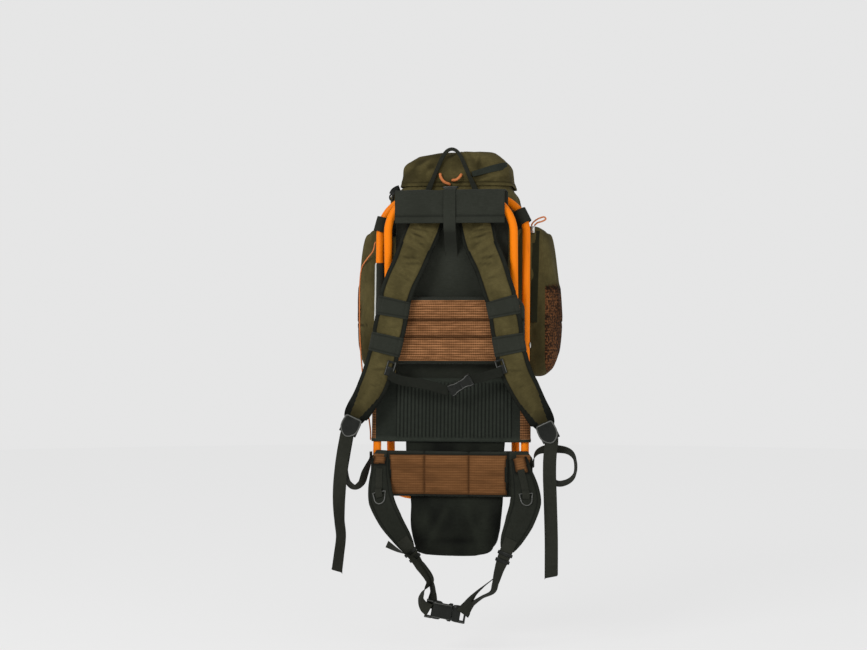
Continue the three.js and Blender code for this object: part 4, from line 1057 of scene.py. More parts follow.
@dataclass
class ChairFrame:
    """The folded stool: two tube loops crossed at rivets, the sling, the ribbed band and the tube's wrap."""

    bench: Bench
    tube: float = 8.0
    bend: float = 75.0
    top: float = -92.0
    bottom: float = -688.0
    splay: float = 27.0
    inner_half: float = 126.0
    outer_half: float = 148.0
    sling_half: float = 109.5
    sling_hem: float = -148.0
    sling_wall: float = 2.5
    band_top: float = -456.0
    band_hem: float = -582.0
    band_wall: float = 3.0
    rib_pitch: float = 7.4
    rib_height: float = 2.6
    ribs: tuple[float, float] = (-108.0, 122.0)
    wrap: tuple[float, float] = (-372.0, -225.0)
    wrap_wall: float = 1.4

    @property
    def pivot(self) -> float:
        """Height of the rivets."""
        return (self.top + self.bottom) / 2

    def depth(self, z: Array | float, lean: int) -> Array:
        """How far back a leg stands at a height; lean is 1 for the outer loop and -1 for the inner."""
        return lean * self.splay * (np.asarray(z, float) - self.pivot) / (self.top - self.pivot)

    def build(self) -> None:
        """Builds every piece of the stool."""
        self.lay_loops()
        self.lay_rivets()
        self.lay_sling()
        self.lay_band()
        self.lay_wrap()

    def lay_loops(self) -> None:
        """Each loop is a circle carried round a rounded rectangle that leans forward or back."""
        loops = (("inner_leg_frame", self.inner_half, -1), ("outer_leg_frame", self.outer_half, 1))
        for name, half, lean in loops:
            ring = rounded_rings(-half, half, self.bottom, self.top, self.bend, (8, 26), 14)[0]
            path = places(ring[:, 0], self.depth(ring[:, 1], lean), ring[:, 1])
            skin = rod(path, self.tube, 28, closed=True)
            self.bench.lay(f"{name}_tube", skin, [Look.PAINT], Slot.PAINT, [name])

    def lay_rivets(self) -> None:
        """Each rivet is a half profile turned about X: a domed head, the shank and a second head."""
        inside = self.inner_half - self.tube - GAP
        outside = self.outer_half + self.tube + GAP
        head = np.array([(0.05, 2.5), (3.0, 2.4), (5.0, 1.9), (6.0, 1.0), (6.0, 0.0), (3.0, 0.0)])
        half = np.vstack([head * (1.0, -1.0), head[::-1] + (0.0, outside - inside)])
        turn = np.linspace(0.0, 2 * math.pi, 24, endpoint=False)
        radius = half[:, :1]
        for side in Side:
            x = side.value * (inside + half[:, 1:])
            skin = solid(places(x, radius * np.cos(turn), self.pivot + radius * np.sin(turn)))
            self.bench.lay(f"rivet_{side.word}", skin, [Look.STEEL], Slot.STEEL, [f"pivot_pin_{side.word}"])

    def lay_sling(self) -> None:
        """A sheet: up from its hem, round one bar, across, round the other and down, with soft ripples."""
        radius = self.tube + GAP + self.sling_wall / 2
        quarter = np.linspace(0.0, math.pi / 2, 9)
        drop = np.linspace(self.sling_hem, self.top, 22)[:-1]
        front = places(np.full(21, -self.splay - radius), drop)
        first = places(-self.splay - radius * np.cos(quarter), self.top + radius * np.sin(quarter))
        level = places(np.linspace(-self.splay, self.splay, 16)[1:-1], np.full(14, self.top + radius))
        half = np.vstack([front, first])
        path = np.vstack([half, level, half[::-1] * (-1.0, 1.0)])
        x = np.linspace(-self.sling_half, self.sling_half, 84)
        run = travel(path)
        slope = unit(np.gradient(path, axis=0))
        out = places(-slope[:, 1], slope[:, 0])
        edge = np.minimum(run, run[-1] - run)
        bumps = 0.9 * ripple(x[None] / 26 + 9, run[:, None] / 34, (32, 32), 3) * smooth(edge, 8, 40)[:, None]
        lift = bumps + (1.3 * bell(edge - 6, 6) - 0.7 * bell(edge - 14, 1.6))[:, None]
        free = smooth(run, 85, 100) * smooth(run[-1] - run, 85, 100)
        sag = -2.2 * np.cos(x / self.sling_half * math.pi / 2)[None] * free[:, None]
        flat = path[:, None] + out[:, None] * (lift + sag)[..., None]
        skin = grid(places(x, flat[..., 0], flat[..., 1]), seam_and_shade=0.6 * bell(edge - 14, 2.2)[:, None])
        wall = self.sling_wall - 0.3
        piece = self.bench.lay("sling_cloth", skin, [Look.BLACK], Slot.BLACK, ["seat_sling"], wall)

    def lay_band(self) -> None:
        """A sheet in front of the outer legs, hooked round them, with upright ribs in its middle."""
        radius = self.tube + GAP + self.band_wall / 2
        hook = np.radians(np.linspace(105.0, 270.0, 22))
        hooked = places(-self.outer_half + radius * np.cos(hook), radius * np.sin(hook))
        count = int(round((self.ribs[1] - self.ribs[0]) / self.rib_pitch))
        ribbed = np.linspace(*self.ribs, count * 8 + 1)
        x = np.concatenate([np.linspace(-147, -109, 14), ribbed, np.linspace(123, 147, 10)])
        flat = places(x, -radius)
        path = np.vstack([hooked, flat, hooked[::-1] * (-1.0, 1.0)])
        z = np.linspace(self.band_top, self.band_hem, 44)
        edge = np.minimum(self.band_top - z, z - self.band_hem)
        share = (path[:, 0] - self.ribs[0]) / (self.ribs[1] - self.ribs[0])
        inside = (share >= 0) & (share <= 1) & (path[:, 1] <= -radius + 0.01)
        wave = np.where(inside, np.abs(np.sin(share * count * math.pi)) ** 0.8, 0.0)
        rib = self.rib_height * wave[None] * smooth(edge, 7, 11)[:, None]
        hem = 0.9 * bell(edge - 3.5, 3.5)[:, None]
        away = np.gradient(path, axis=0)
        out = unit(places(away[:, 1], -away[:, 0]))
        lift = rib + hem
        depth = self.depth(z, 1)[:, None] + path[:, 1] + out[:, 1] * lift
        points = places(path[:, 0] + out[:, 0] * lift, depth, z[:, None])
        # Painted shade: the grooves between the ribs are darkened, most at their bottoms, so that the rib
        # tops read lighter; outside the ribs the band is darkened a little all over.
        groove = np.where(inside, 1.0 - wave**1.6, 0.35)[None] * smooth(edge, 7, 11)[:, None]
        skin = grid(points, seam_and_shade=groove)
        middle = skin.middles()
        ends = (middle[:, 0] < -149) | (middle[:, 0] > 139)
        rows = (middle[:, 2] > self.band_hem + 7) & (middle[:, 2] < self.band_top - 7)
        skin.look = np.where(ends & rows, 1, 0)
        wall = self.band_wall - 0.3
        piece = self.bench.lay("ribbed_band", skin, [Look.BAND, Look.RUST], Slot.BLACK, ["rib_band"], wall)

    def lay_wrap(self) -> None:
        """A sleeve round the left outer leg: a circle carried up it, with a pale strip down its left."""
        z = np.linspace(self.wrap[0], self.wrap[1], 30)
        turn = np.linspace(0.0, 2 * math.pi, 40, endpoint=False)
        end = np.minimum(z - z[0], z[-1] - z)
        radius = self.tube + GAP + self.wrap_wall * (0.35 + 0.65 * smooth(end, 0.0, 3.0))
        around = radius[:, None] + 0.25 * ripple(np.arange(40)[None] / 5, z[:, None] / 16, (8, 32), 4)
        depth = self.depth(z, 1)[:, None] + around * np.sin(turn)
        points = places(-self.outer_half + around * np.cos(turn), depth, z[:, None])
        skin = grid(points, round_across=True).outward()
        middle = skin.middles()
        skin.look = np.where(middle[:, 0] < -self.outer_half - self.tube * 0.72, 1, 0)
        self.bench.lay("tube_sleeve", skin, [Look.BLACK, Look.PALE], Slot.BLACK, ["tube_wrap"])


@dataclass
class BackPanel:
    """The panel that hangs between the bars, its middle strap and the quilted pad on it."""

    bench: Bench
    half: float = 113.0
    top: float = -84.0
    hem: float = -470.0
    wall: float = 3.0
    yoke_width: float = 24.0
    yoke: Array = table(
        (0, -8, -79.8, 0, 0, 1), (0, -27, -79.8, 0, 0, 1), (0, -36, -83, 0, -0.7, 0.7),
        (0, -39.2, -92, 0, -1, 0), (0, -39.2, -148, 0, -1, 0), (0, -34.8, -162, 0, -0.85, -0.5),
        (0, -18, -188, 0, -0.9, -0.45), (0, -3.0, -208, 0, -1, -0.1), (0, 0.1, -220, 0, -1, 0),
        (0, 0.1, -242, 0, -1, 0),
    )
    pad_half: float = 148.0
    pad_top: float = -294.0
    pad_hem: float = -428.0
    pad_back: float = -16.7
    pad_thick: float = 11.0
    pad_crown: float = 6.0
    pad_corner: float = 26.0
    pad_seams: tuple[float, ...] = (-428.0, -374.0, -340.0, -294.0)

    def build(self) -> None:
        """Builds the panel, the yoke and the pad."""
        self.lay_panel()
        self.lay_yoke()
        self.lay_pad()

    def lay_panel(self) -> None:
        """A hanging sheet with a soft ripple of half a millimetre."""
        x = np.linspace(-self.half, self.half, 60)[None]
        z = np.linspace(self.top, self.hem, 96)[:, None]
        points = places(x, 0.5 * ripple(x / 40 + 8, z / 60 + 16, (32, 32), 7), z)
        wall = self.wall - 1.0
        piece = self.bench.lay("hanging_panel", grid(points), [Look.BLACK], Slot.BLACK, ["back_panel"], wall)

    def lay_yoke(self) -> None:
        """The yoke is webbing down the sling, with a moulded bar across its top."""
        skin = web(self.yoke, self.yoke_width, 90)
        low = -skin.points[:, 2]
        # Painted shade: the webbing is darkened from about 155 to 208 mm below the top, just under the
        # sling's hem, where the sling shades it.
        skin.seam_and_shade = 0.45 * smooth(low, 155, 170) * (1 - smooth(low, 180, 208))
        self.bench.lay("yoke_webbing", skin, [Look.BLACK], Slot.WEBBING, ["yoke_strap"])
        start, end = np.array([-16.0, -20.0, -76.5]), np.array([16.0, -20.0, -76.5])
        share = np.linspace(0.08, 0.92, 12)[:, None]
        lip = start + (end - start) * share + FRONT * 4.3
        # Painted highlights: a thin grey lip along the bar's upper and lower front edges.
        edges = [highlight_lip(lip + (0.0, 0.0, rise)) for rise in (-1.3, 1.3)]
        skin = joined(bar(start, end, np.array([0.0, 0.0, 1.0]), 9.0, 3.4), *edges)
        self.bench.lay("yoke_bar", skin, [Look.PLASTIC, Look.RING], Slot.PLASTIC, ["yoke_buckle"])

    def lay_pad(self) -> None:
        """A closed pad: a front that swells between its seams, rounded to a binding, over a flat back."""
        rows, face, behind = 60, 110, 40
        z = self.pad_top + (self.pad_hem - self.pad_top) * np.linspace(0.0, 1.0, rows)
        level = np.minimum(self.pad_top - z, z - self.pad_hem)
        inset = np.maximum(self.pad_corner - level, 0.0)
        half = self.pad_half - self.pad_corner + np.sqrt(np.maximum(self.pad_corner**2 - inset**2, 0.0))
        s = np.concatenate([np.linspace(-1, 1, face), np.linspace(1, -1, behind + 2)[1:-1]])
        front = np.arange(len(s)) < face
        x = half[:, None] * s[None]
        zz = np.broadcast_to(z[:, None], x.shape)
        edge = np.minimum(half[:, None] - np.abs(x), level[:, None])
        rise = 0.3 + 0.7 * np.sqrt(1 - (1 - np.clip(edge / 15, 0, 1)) ** 2)
        swell = (self.pad_thick + self.pad_crown * quilt(zz, self.pad_seams)) * rise
        tuck = sum(bell(zz - seam, 3.0) for seam in self.pad_seams[1:-1])
        pucker = 0.5 * ripple(x / 9 + 32, zz / 14, (64, 64), 11) * (0.35 + tuck)
        puffed = self.pad_back - swell + 1.6 * tuck * rise + pucker * smooth(edge, 4, 12)
        points = places(x, np.where(front[None], puffed, self.pad_back), zz)
        seam_and_shade = np.where(front[None], np.clip(0.85 * tuck, 0, 1), 0.0)
        skin = solid(points, seam_and_shade)
        corners = np.where(front[None], edge, 0.0).reshape(-1)
        skin.look = np.where(corners[skin.faces].mean(axis=1) > 7.0, 1, 0)
        piece = self.bench.lay("quilted_back_pad", skin, [Look.BLACK, Look.RUST], Slot.RUST, ["back_pad"])
        Filling().swell(piece, (corners < 8.0) | (tuck.reshape(-1) > 0.4))


PAD_STEPS = (32, 16)


def highlight_lip(path: Array) -> Skin:
    """A thin rounded lip along a moulded edge, in the piece's second finish: a grey line that is a painted
    highlight.
    """
    return rod(path, 0.75, 8).second()


def pad_profile() -> tuple[Array, Array]:
    """Section of a padded strap: a crowned front with a sewn groove by each border, over a flatter back.

    Returns:
        The section, and how far across each of its front points lies (2 for a point on the back).
    """
    front = np.linspace(-1.0, 1.0, PAD_STEPS[0])
    back = np.linspace(1.0, -1.0, PAD_STEPS[1] + 2)[1:-1]
    groove = 0.2 * bell(np.abs(front) - 0.74, 0.05)
    upper = 0.2 + 0.92 * (1 - np.abs(front) ** 6) - groove
    lower = -0.2 - 0.8 * (1 - np.abs(back) ** 8)
    section = places(np.concatenate([front, back]), np.concatenate([upper, lower]))
    return section, np.concatenate([np.abs(front), np.full(PAD_STEPS[1], 2.0)])


@dataclass
class ShoulderHarness:
    """The two padded straps with their bands, ladder locks, adjusters and the sternum strap."""

    bench: Bench
    thick: float = 12.0
    bands: dict[str, Array] = named(upper=(-334.0, -298.0), lower=(-408.0, -369.0))
    band_wall: float = 1.8
    adjuster_width: float = 26.0
    sternum_width: float = 19.0
    straps: dict[Side, Array] = sided(
        [
            (-42, -8.2, -118, 58), (-46, -9, -136, 64), (-54, -14, -156, 70), (-67, -24, -190, 70),
            (-82, -34, -231, 68), (-98, -42, -267, 66), (-108, -46, -300, 66), (-114, -48, -336, 66),
            (-121, -49, -370, 66), (-130, -50, -409, 64), (-139, -52, -439, 62), (-153, -54, -475, 60),
            (-167, -55, -500, 54), (-179, -55, -519, 52), (-186, -54.5, -530, 48),
        ],
        [
            (42, -8.2, -118, 58), (46, -9, -136, 64), (53, -14, -158, 70), (62, -24, -191, 68),
            (80, -34, -231, 66), (94, -42, -271, 64), (104, -46, -301, 64), (112, -48, -340, 64),
            (118, -49, -379, 64), (126, -50, -419, 64), (136, -52, -448, 62), (151, -54, -477, 60),
            (168, -55, -508, 54), (180, -55, -529, 52), (186.5, -54.5, -540, 48),
        ],
    )
    lock_axes: dict[Side, Array] = sided((-0.42, 0.0, -0.907), (0.43, 0.0, -0.903))
    folds: Array = table(
        (4, 50, 32, 28, 4.5, 3.6), (-6, 70, 40, 26, 4.5, 3.2), (5, 90, 28, 26, 5, 2.8),
        (-4, 116, 36, 24, 5, 2.4), (6, 146, 25, 24, 6, 2), (0, 336, -30, 24, 6, 2), (4, 362, -24, 22, 6, 1.8),
        (-5, 392, -36, 24, 6, 2),
    )
    # Painted shadow lines across each strap's face: aside, down, turn, half length, half width and darkness
    # of each thin dark line.
    shadow_lines: Array = table(
        (-9, 50, -8, 17, 2.6, 0.6), (-7, 61, 5, 19, 2.2, 0.85), (10, 76, 14, 15, 2.6, 0.6),
        (-4, 92, 6, 18, 3.2, 0.45), (-3, 109, -16, 18, 2.6, 0.75), (7, 119, -22, 20, 2.4, 0.6),
        (4, 150, 8, 18, 3, 0.4), (0, 340, -20, 20, 3, 0.5), (5, 372, -14, 18, 3, 0.5),
    )
    chest_place: tuple[float, float, float] = (25.0, -63.8, -468.5)
    chest_along: tuple[float, float, float] = (0.86, 0.0, 0.5)
    lock_half: float = 18.0
    lock_thick: float = 5.0
    lock_rim: float = 4.2
    lock_bars: tuple[tuple[float, float], ...] = ((10.5, 14.5), (23.0, 29.5), (35.5, 39.5))
    lock_turn: float = 4.3
    tails: dict[Side, Array] = sided(
        [
            (-222, -62, -838, 0.7, -0.7, 0), (-218, -61, -806, 0.74, -0.66, 0),
            (-214, -60, -768, 0.78, -0.62, 0), (-217, -60, -737, 0.76, -0.64, 0),
            (-218, -60, -697, 0.5, -0.86, 0), (-215, -61, -647, 0, -1, 0), (-210, -62, -607, -0.1, -1, 0),
        ],
        [
            (203, -63, -842, 0, -1, 0), (203, -62, -769, 0, -1, 0), (201, -61, -692, 0, -1, 0),
            (199.5, -61, -640, 0, -1, 0), (200.5, -62, -606, 0, -1, 0),
        ],
    )
    anchors: dict[Side, Array] = sided(
        [
            (-208, -49, -606, -0.4, -0.9, 0), (-209, -47, -638, -0.75, -0.6, -0.2),
            (-203, -45, -662, -0.5, -0.5, -0.7), (-190, -42, -673, 0.1, -0.4, -0.9),
            (-177, -39, -665, 0.6, -0.4, -0.6), (-170, -36, -645, 0.85, -0.4, -0.2),
            (-163.5, -34, -628, 0.95, -0.2, -0.1), (-158.6, -33.5, -614, 1, 0, 0),
            (-158.4, -33, -602, 1, 0, 0),
        ],
        [
            (199, -48, -606, -0.3, -0.95, 0), (198, -45, -636, -0.85, -0.5, 0),
            (203, -45, -654, -0.66, -0.5, -0.54), (216, -45, -661, 0, -0.5, -0.85),
            (237, -45, -655, 0.6, -0.4, -0.71), (248, -44, -641, 1, -0.15, -0.1),
            (248, -42, -614, 1, -0.15, 0.1), (236, -37, -599, 0.5, -0.4, 0.71),
            (213, -32, -594, 0, -0.5, 0.85), (187, -31, -595, 0, -0.5, 0.85),
            (173, -34, -602, -0.6, -0.3, 0.7), (166.8, -36, -615, -1, 0, 0.1), (166.4, -36, -630, -1, 0, 0),
        ],
    )
    sliders: dict[Side, Array] = sided(
        [(-115, -60.4, -436), (0.3, 0, 1)], [(104, -60.2, -432), (-0.34, 0, 1)]
    )
    sternum: dict[Side, Array] = sided(
        [(-117, -63.2, -448), (-97, -63, -458), (-46, -63.3, -467), (2.5, -63.5, -480)],
        [(48, -63.5, -457), (75, -63.2, -450), (107, -63, -441)],
    )

    def build(self) -> None:
        """Builds both sides and the sternum strap between them."""
        for side in Side:
            self.lay_strap(side)
            self.lay_bands(side)
            self.lay_lock(side)
            self.lay_adjuster(side)
            self.lay_slider(side)
            skin = web(faced(self.sternum[side]), self.sternum_width, 40)
            skin.seam_and_shade[:] = 0.35
            nodes = [f"sternum_webbing_{side.word}"]
            self.bench.lay(f"sternum_strap_{side.word}", skin, [Look.TAPE], Slot.WEBBING, nodes)
        self.lay_sternum_buckle()

    def lay_strap(self, side: Side) -> None:
        """A padded section carried down the strap's curve, pinched at its bands and puckered by its seams.

        Args:
            side: Which side.
        """
        last = self.straps[side][-1] + np.array([side.value * 3.0, 3.5, -12.0, -2.0])
        path = spline(np.vstack([self.straps[side], last]), 170)
        section, across = pad_profile()
        run = travel(path)
        height = path[:, 2]
        pinch = sum(
            smooth(height, low - 5, low + 3) * (1 - smooth(height, high - 3, high + 5))
            for low, high in self.bands.values()
        )
        ends = 0.5 + 0.5 * smooth(np.minimum(2.4 * run, run[-1] - run), 0.0, 22.0)
        tip = np.clip(1 - (run[-1] - run) / 20, 0, 1)
        width = path[:, 3] * np.sqrt(1 - 0.5 * tip**2) * (1 - 0.06 * pinch)
        points = carry(section, path[:, :3], FRONT, width, self.thick * ends)
        u = section[None, :, 0] * path[:, 3:4] / 2
        v = np.broadcast_to(run[:, None], u.shape)
        wrinkle = 1.2 * ripple(u / 16 + 32, v / 13, (64, 64), 20 + side.value) * bell(v, 150)
        wrinkle = wrinkle + 0.8 * ripple(u / 13 + 32, v / 24, (64, 64), 30 + side.value)
        for aside, down, turn, *size, lift in self.folds:
            wrinkle = wrinkle + lift * fold(u, v, (aside * side.value, down), turn * side.value, size)
        # Painted shade: darker in the valleys of the wrinkles, not darkened on their ridges.
        valley_shade = np.clip(0.16 - 0.24 * wrinkle, 0.0, 0.6)
        # Painted shadow lines: each row of the table darkens a thin line along a slanting fold.
        for aside, down, turn, *size, depth in self.shadow_lines:
            seam_and_shade = depth * fold(u, v, (aside * side.value, down), turn * side.value, size)
            valley_shade = np.maximum(valley_shade, seam_and_shade)
        valley_shade = valley_shade * (across < 1.5)[None]
        front = (across < 0.74)[None]
        lift = np.where(front, wrinkle - 0.9 * pinch[:, None], 0.0) * smooth(0.74 - across, 0.0, 0.2)[None]
        points = points + FRONT * lift[..., None]
        border = 0.755 + 0.1 * (1 - smooth(run, 50, 120))[:, None]
        border = border - 0.3 * smooth(run, run[-1] - 70, run[-1] - 8)[:, None]
        groove = np.where(across < 1.5, bell(across[None] - border, 0.05), 0.0)
        # Darker over the strap's last 170 mm, more towards its borders, and darker still over its last 62 mm.
        darker_near_end = 0.55 * smooth(run, run[-1] - 170, run[-1] - 40)[:, None] * smooth(across, -0.5, 0.7)[None]
        darker_near_end = np.maximum(darker_near_end, 0.85 * smooth(run, run[-1] - 62, run[-1] - 14)[:, None])
        deep = np.maximum(np.maximum(0.8 * groove, darker_near_end), valley_shade)
        skin = solid(points, deep)
        limit = border[:, 0] - 2 * (run > run[-1] - 8)
        spare = (limit[:, None] - across[None]).reshape(-1)
        skin.look = np.where(spare[skin.faces].min(axis=1) > 0, 1, 0)
        nodes = [f"shoulder_strap_{side.word}"]
        piece = self.bench.lay(f"padded_strap_{side.word}", skin, [Look.EDGE, Look.GREEN], Slot.GREEN, nodes)

    def lay_bands(self, side: Side) -> None:
        """Each band is a sleeve: the strap's section, grown a little, carried over the band's height.

        Args:
            side: Which side.
        """
        section, _ = pad_profile()
        fine = spline(self.straps[side], 600)
        for level, (low, high) in self.bands.items():
            path = fine[(fine[:, 2] >= low) & (fine[:, 2] <= high)]
            path = path[np.linspace(0, len(path) - 1, 18).astype(int)]
            share = np.linspace(0.0, 1.0, len(path))
            grow = 2 * (self.band_wall + GAP) * smooth(np.minimum(share, 1 - share), -0.06, 0.07)
            points = carry(section, path[:, :3], FRONT, path[:, 3] * 0.94 + grow, self.thick + grow)
            seam = bell(np.minimum(share, 1 - share) - 0.12, 0.03) * 0.5
            skin = grid(points, round_across=True, seam_and_shade=seam[:, None]).outward()
            nodes = [f"strap_band_{level}_{side.word}"]
            self.bench.lay(f"strap_sleeve_{level}_{side.word}", skin, [Look.BLACK], Slot.BLACK, nodes)

    def beside_lock(self, side: Side, along: float, ahead: float, aside: float = 0.0) -> Array:
        """A point by a lock.

        Args:
            side: Which lock.
            along: How far along its axis from the strap's end.
            ahead: How far in front of its plane.
            aside: How far across it.

        Returns:
            The point.
        """
        axis = unit(self.lock_axes[side])
        across = np.cross(axis, FRONT)
        return self.straps[side][-1, :3] + axis * along + FRONT * ahead + across * aside

    def lay_lock(self, side: Side) -> None:
        """A ladder lock: two side rails and three cross bars, with the tab that holds it to the strap.

        Args:
            side: Which side.
        """
        low, high = self.lock_bars[0][0], self.lock_bars[-1][1]
        rail = self.lock_half - self.lock_rim / 2
        skins = []
        for aside in (-rail, rail):
            start, end = (self.beside_lock(side, along, 0, aside) for along in (low, high))
            skins.append(bar(start, end, FRONT, self.lock_rim, self.lock_thick))
        for near, far in self.lock_bars:
            middle = (near + far) / 2
            start = self.beside_lock(side, middle, 0, -self.lock_half + 1)
            end = self.beside_lock(side, middle, 0, self.lock_half - 1)
            skins.append(bar(start, end, FRONT, far - near, self.lock_thick * 0.92))
        skins += self.lock_plate(side)
        nodes = [f"ladder_lock_{side.word}"]
        self.bench.lay(f"lock_{side.word}", joined(*skins), [Look.PLASTIC, Look.RING], Slot.PLASTIC, nodes)
        turns = self.round_bar(side, sum(self.lock_bars[0]) / 2, 1.0)
        start = np.concatenate([self.beside_lock(side, 0.5, self.lock_turn), FRONT])
        end = np.concatenate([self.beside_lock(side, 0.5, -self.lock_turn), -FRONT])
        rows = np.vstack([start, turns, end])
        skin = solid(strip(rows, self.adjuster_width))
        nodes = [f"lock_tab_{side.word}"]
        self.bench.lay(f"lock_loop_{side.word}", skin, [Look.WEBBING], Slot.WEBBING, nodes)

    def lock_plate(self, side: Side) -> list[Skin]:
        """The lock's cover: a bowed plate with a half-round lower lip, and a grey bead along its rim that is
        a painted highlight.

        Args:
            side: Which lock.

        Returns:
            The plate's skin and the bead's.
        """
        axis = unit(self.lock_axes[side])
        across = np.cross(axis, FRONT)
        along = np.array([4.0, 5.0, 7.0, 14.0, 22.0, 28.0, 32.0, 36.0, 39.5, 42.0, 43.2])
        half = np.array([14.0, 15.5, 16.5, 17.4, 17.8, 17.0, 15.4, 12.6, 9.0, 5.0, 2.0])
        ahead = 6.6 + 1.0 * np.sin(along / 43 * math.pi)
        path = self.straps[side][-1, :3] + axis * along[:, None] + FRONT * ahead[:, None]
        plate = solid(carry(BAR_PROFILE, path, FRONT, 2 * half, 2.0))
        rim = np.vstack([places(along, half), places(along, -half)[::-1]])
        bead = self.straps[side][-1, :3] + axis * rim[:, :1] + across * rim[:, 1:]
        bead = bead + FRONT * np.concatenate([ahead, ahead[::-1]])[:, None]
        return [plate, rod(bead, 1.5, 10, closed=True).second()]

    def round_bar(self, side: Side, centre: float, away: float) -> Array:
        """Rows of a half turn of webbing round a lock's bar, from in front of it to behind.

        Args:
            side: Which lock.
            centre: How far along the lock the bar lies.
            away: 1 to turn round its far side, -1 round its near side.

        Returns:
            Rows of places and facings.
        """
        turn = np.linspace(0.0, math.pi, 13)
        axis = unit(self.lock_axes[side])
        middle = self.beside_lock(side, centre, 0.0)
        spoke = axis * (away * np.sin(turn))[:, None] + FRONT * np.cos(turn)[:, None]
        return np.hstack([middle + spoke * self.lock_turn, spoke])

    def lay_adjuster(self, side: Side) -> None:
        """One webbing from its free tail up through the lock, round the middle bar and back to the leg.

        Args:
            side: Which side.
        """
        below = self.lock_bars[-1][1] + 2 * GAP
        ahead = np.concatenate([self.beside_lock(side, below, self.lock_turn), FRONT])
        behind = np.concatenate([self.beside_lock(side, below, -self.lock_turn), FRONT])
        tail = spline(np.vstack([self.tails[side], ahead]), 70)
        rest = spline(np.vstack([behind, self.anchors[side]]), 96) * np.array([1, 1, 1, -1, -1, -1.0])
        rows = np.vstack([tail, self.round_bar(side, self.lock_bars[1][0] + 2.0, -1.0), rest])
        points = strip(rows, self.adjuster_width)
        slant = np.linspace(9.0, -9.0, len(WEB_PROFILE) // 2)
        points[0, :, 2] += np.concatenate([slant, slant[::-1]]) * side.value * -0.6
        skin = solid(points)
        nodes = [f"adjuster_{side.word}"]
        self.bench.lay(f"adjuster_webbing_{side.word}", skin, [Look.WEBBING], Slot.WEBBING, nodes)

    def lay_slider(self, side: Side) -> None:
        """A small slider: two rails and two cross bars on the strap's face.

        Args:
            side: Which side.
        """
        place, up = self.sliders[side][0], unit(self.sliders[side][1])
        across = np.cross(up, FRONT)
        rails = [place + across * aside for aside in (-7.2, 7.2)]
        skins = [bar(rail - up * 15, rail + up * 15, FRONT, 3.5, 3.0) for rail in rails]
        for low, high in ((-15.0, 3.0), (11.0, 15.0)):
            middle = place + up * (low + high) / 2
            skins.append(bar(middle - across * 8.5, middle + across * 8.5, FRONT, high - low, 2.7))
        share = np.linspace(-14.0, 14.0, 8)[:, None]
        # Painted highlights: a thin grey lip down each rail's front.
        skins += [highlight_lip(place + FRONT * 1.6 + across * a + up * share) for a in (-7.6, 7.6)]
        nodes = [f"sternum_slider_{side.word}"]
        self.bench.lay(f"slider_{side.word}", joined(*skins), [Look.PLASTIC, Look.RING], Slot.PLASTIC, nodes)

    def lay_sternum_buckle(self) -> None:
        """A small side release buckle: a waisted body carried along its axis, between two webbing bars."""
        place, along = np.array(self.chest_place), unit(np.array(self.chest_along))
        share = np.array([-25, -24, -18, -15, -11, -4, 2, 3, 4, 9, 13, 16, 18, 24, 25.0])
        half = np.array([11.5, 13, 13, 12.2, 10.2, 10, 10, 9.2, 9.6, 9.6, 10.4, 12.4, 13, 13, 11.5])
        thick = np.array([4.5, 6, 6.6, 8, 8, 8, 8, 6.4, 7, 7, 7, 6.6, 6, 6, 4.5])
        middle = place + along * share[:, None]
        points = carry(BAR_PROFILE, middle, FRONT, 2 * half, thick)
        skins = [solid(points)]
        across = np.cross(along, FRONT)
        front = middle + FRONT * (thick / 2 - 0.2)[:, None]
        # Painted highlights: a thin grey lip along each side of the buckle's face.
        skins += [highlight_lip((front + across * (a * half)[:, None])[1:-1]) for a in (-0.8, 0.8)]
        looks = [Look.PLASTIC, Look.RING]
        self.bench.lay("chest_buckle", joined(*skins), looks, Slot.PLASTIC, ["sternum_buckle"])


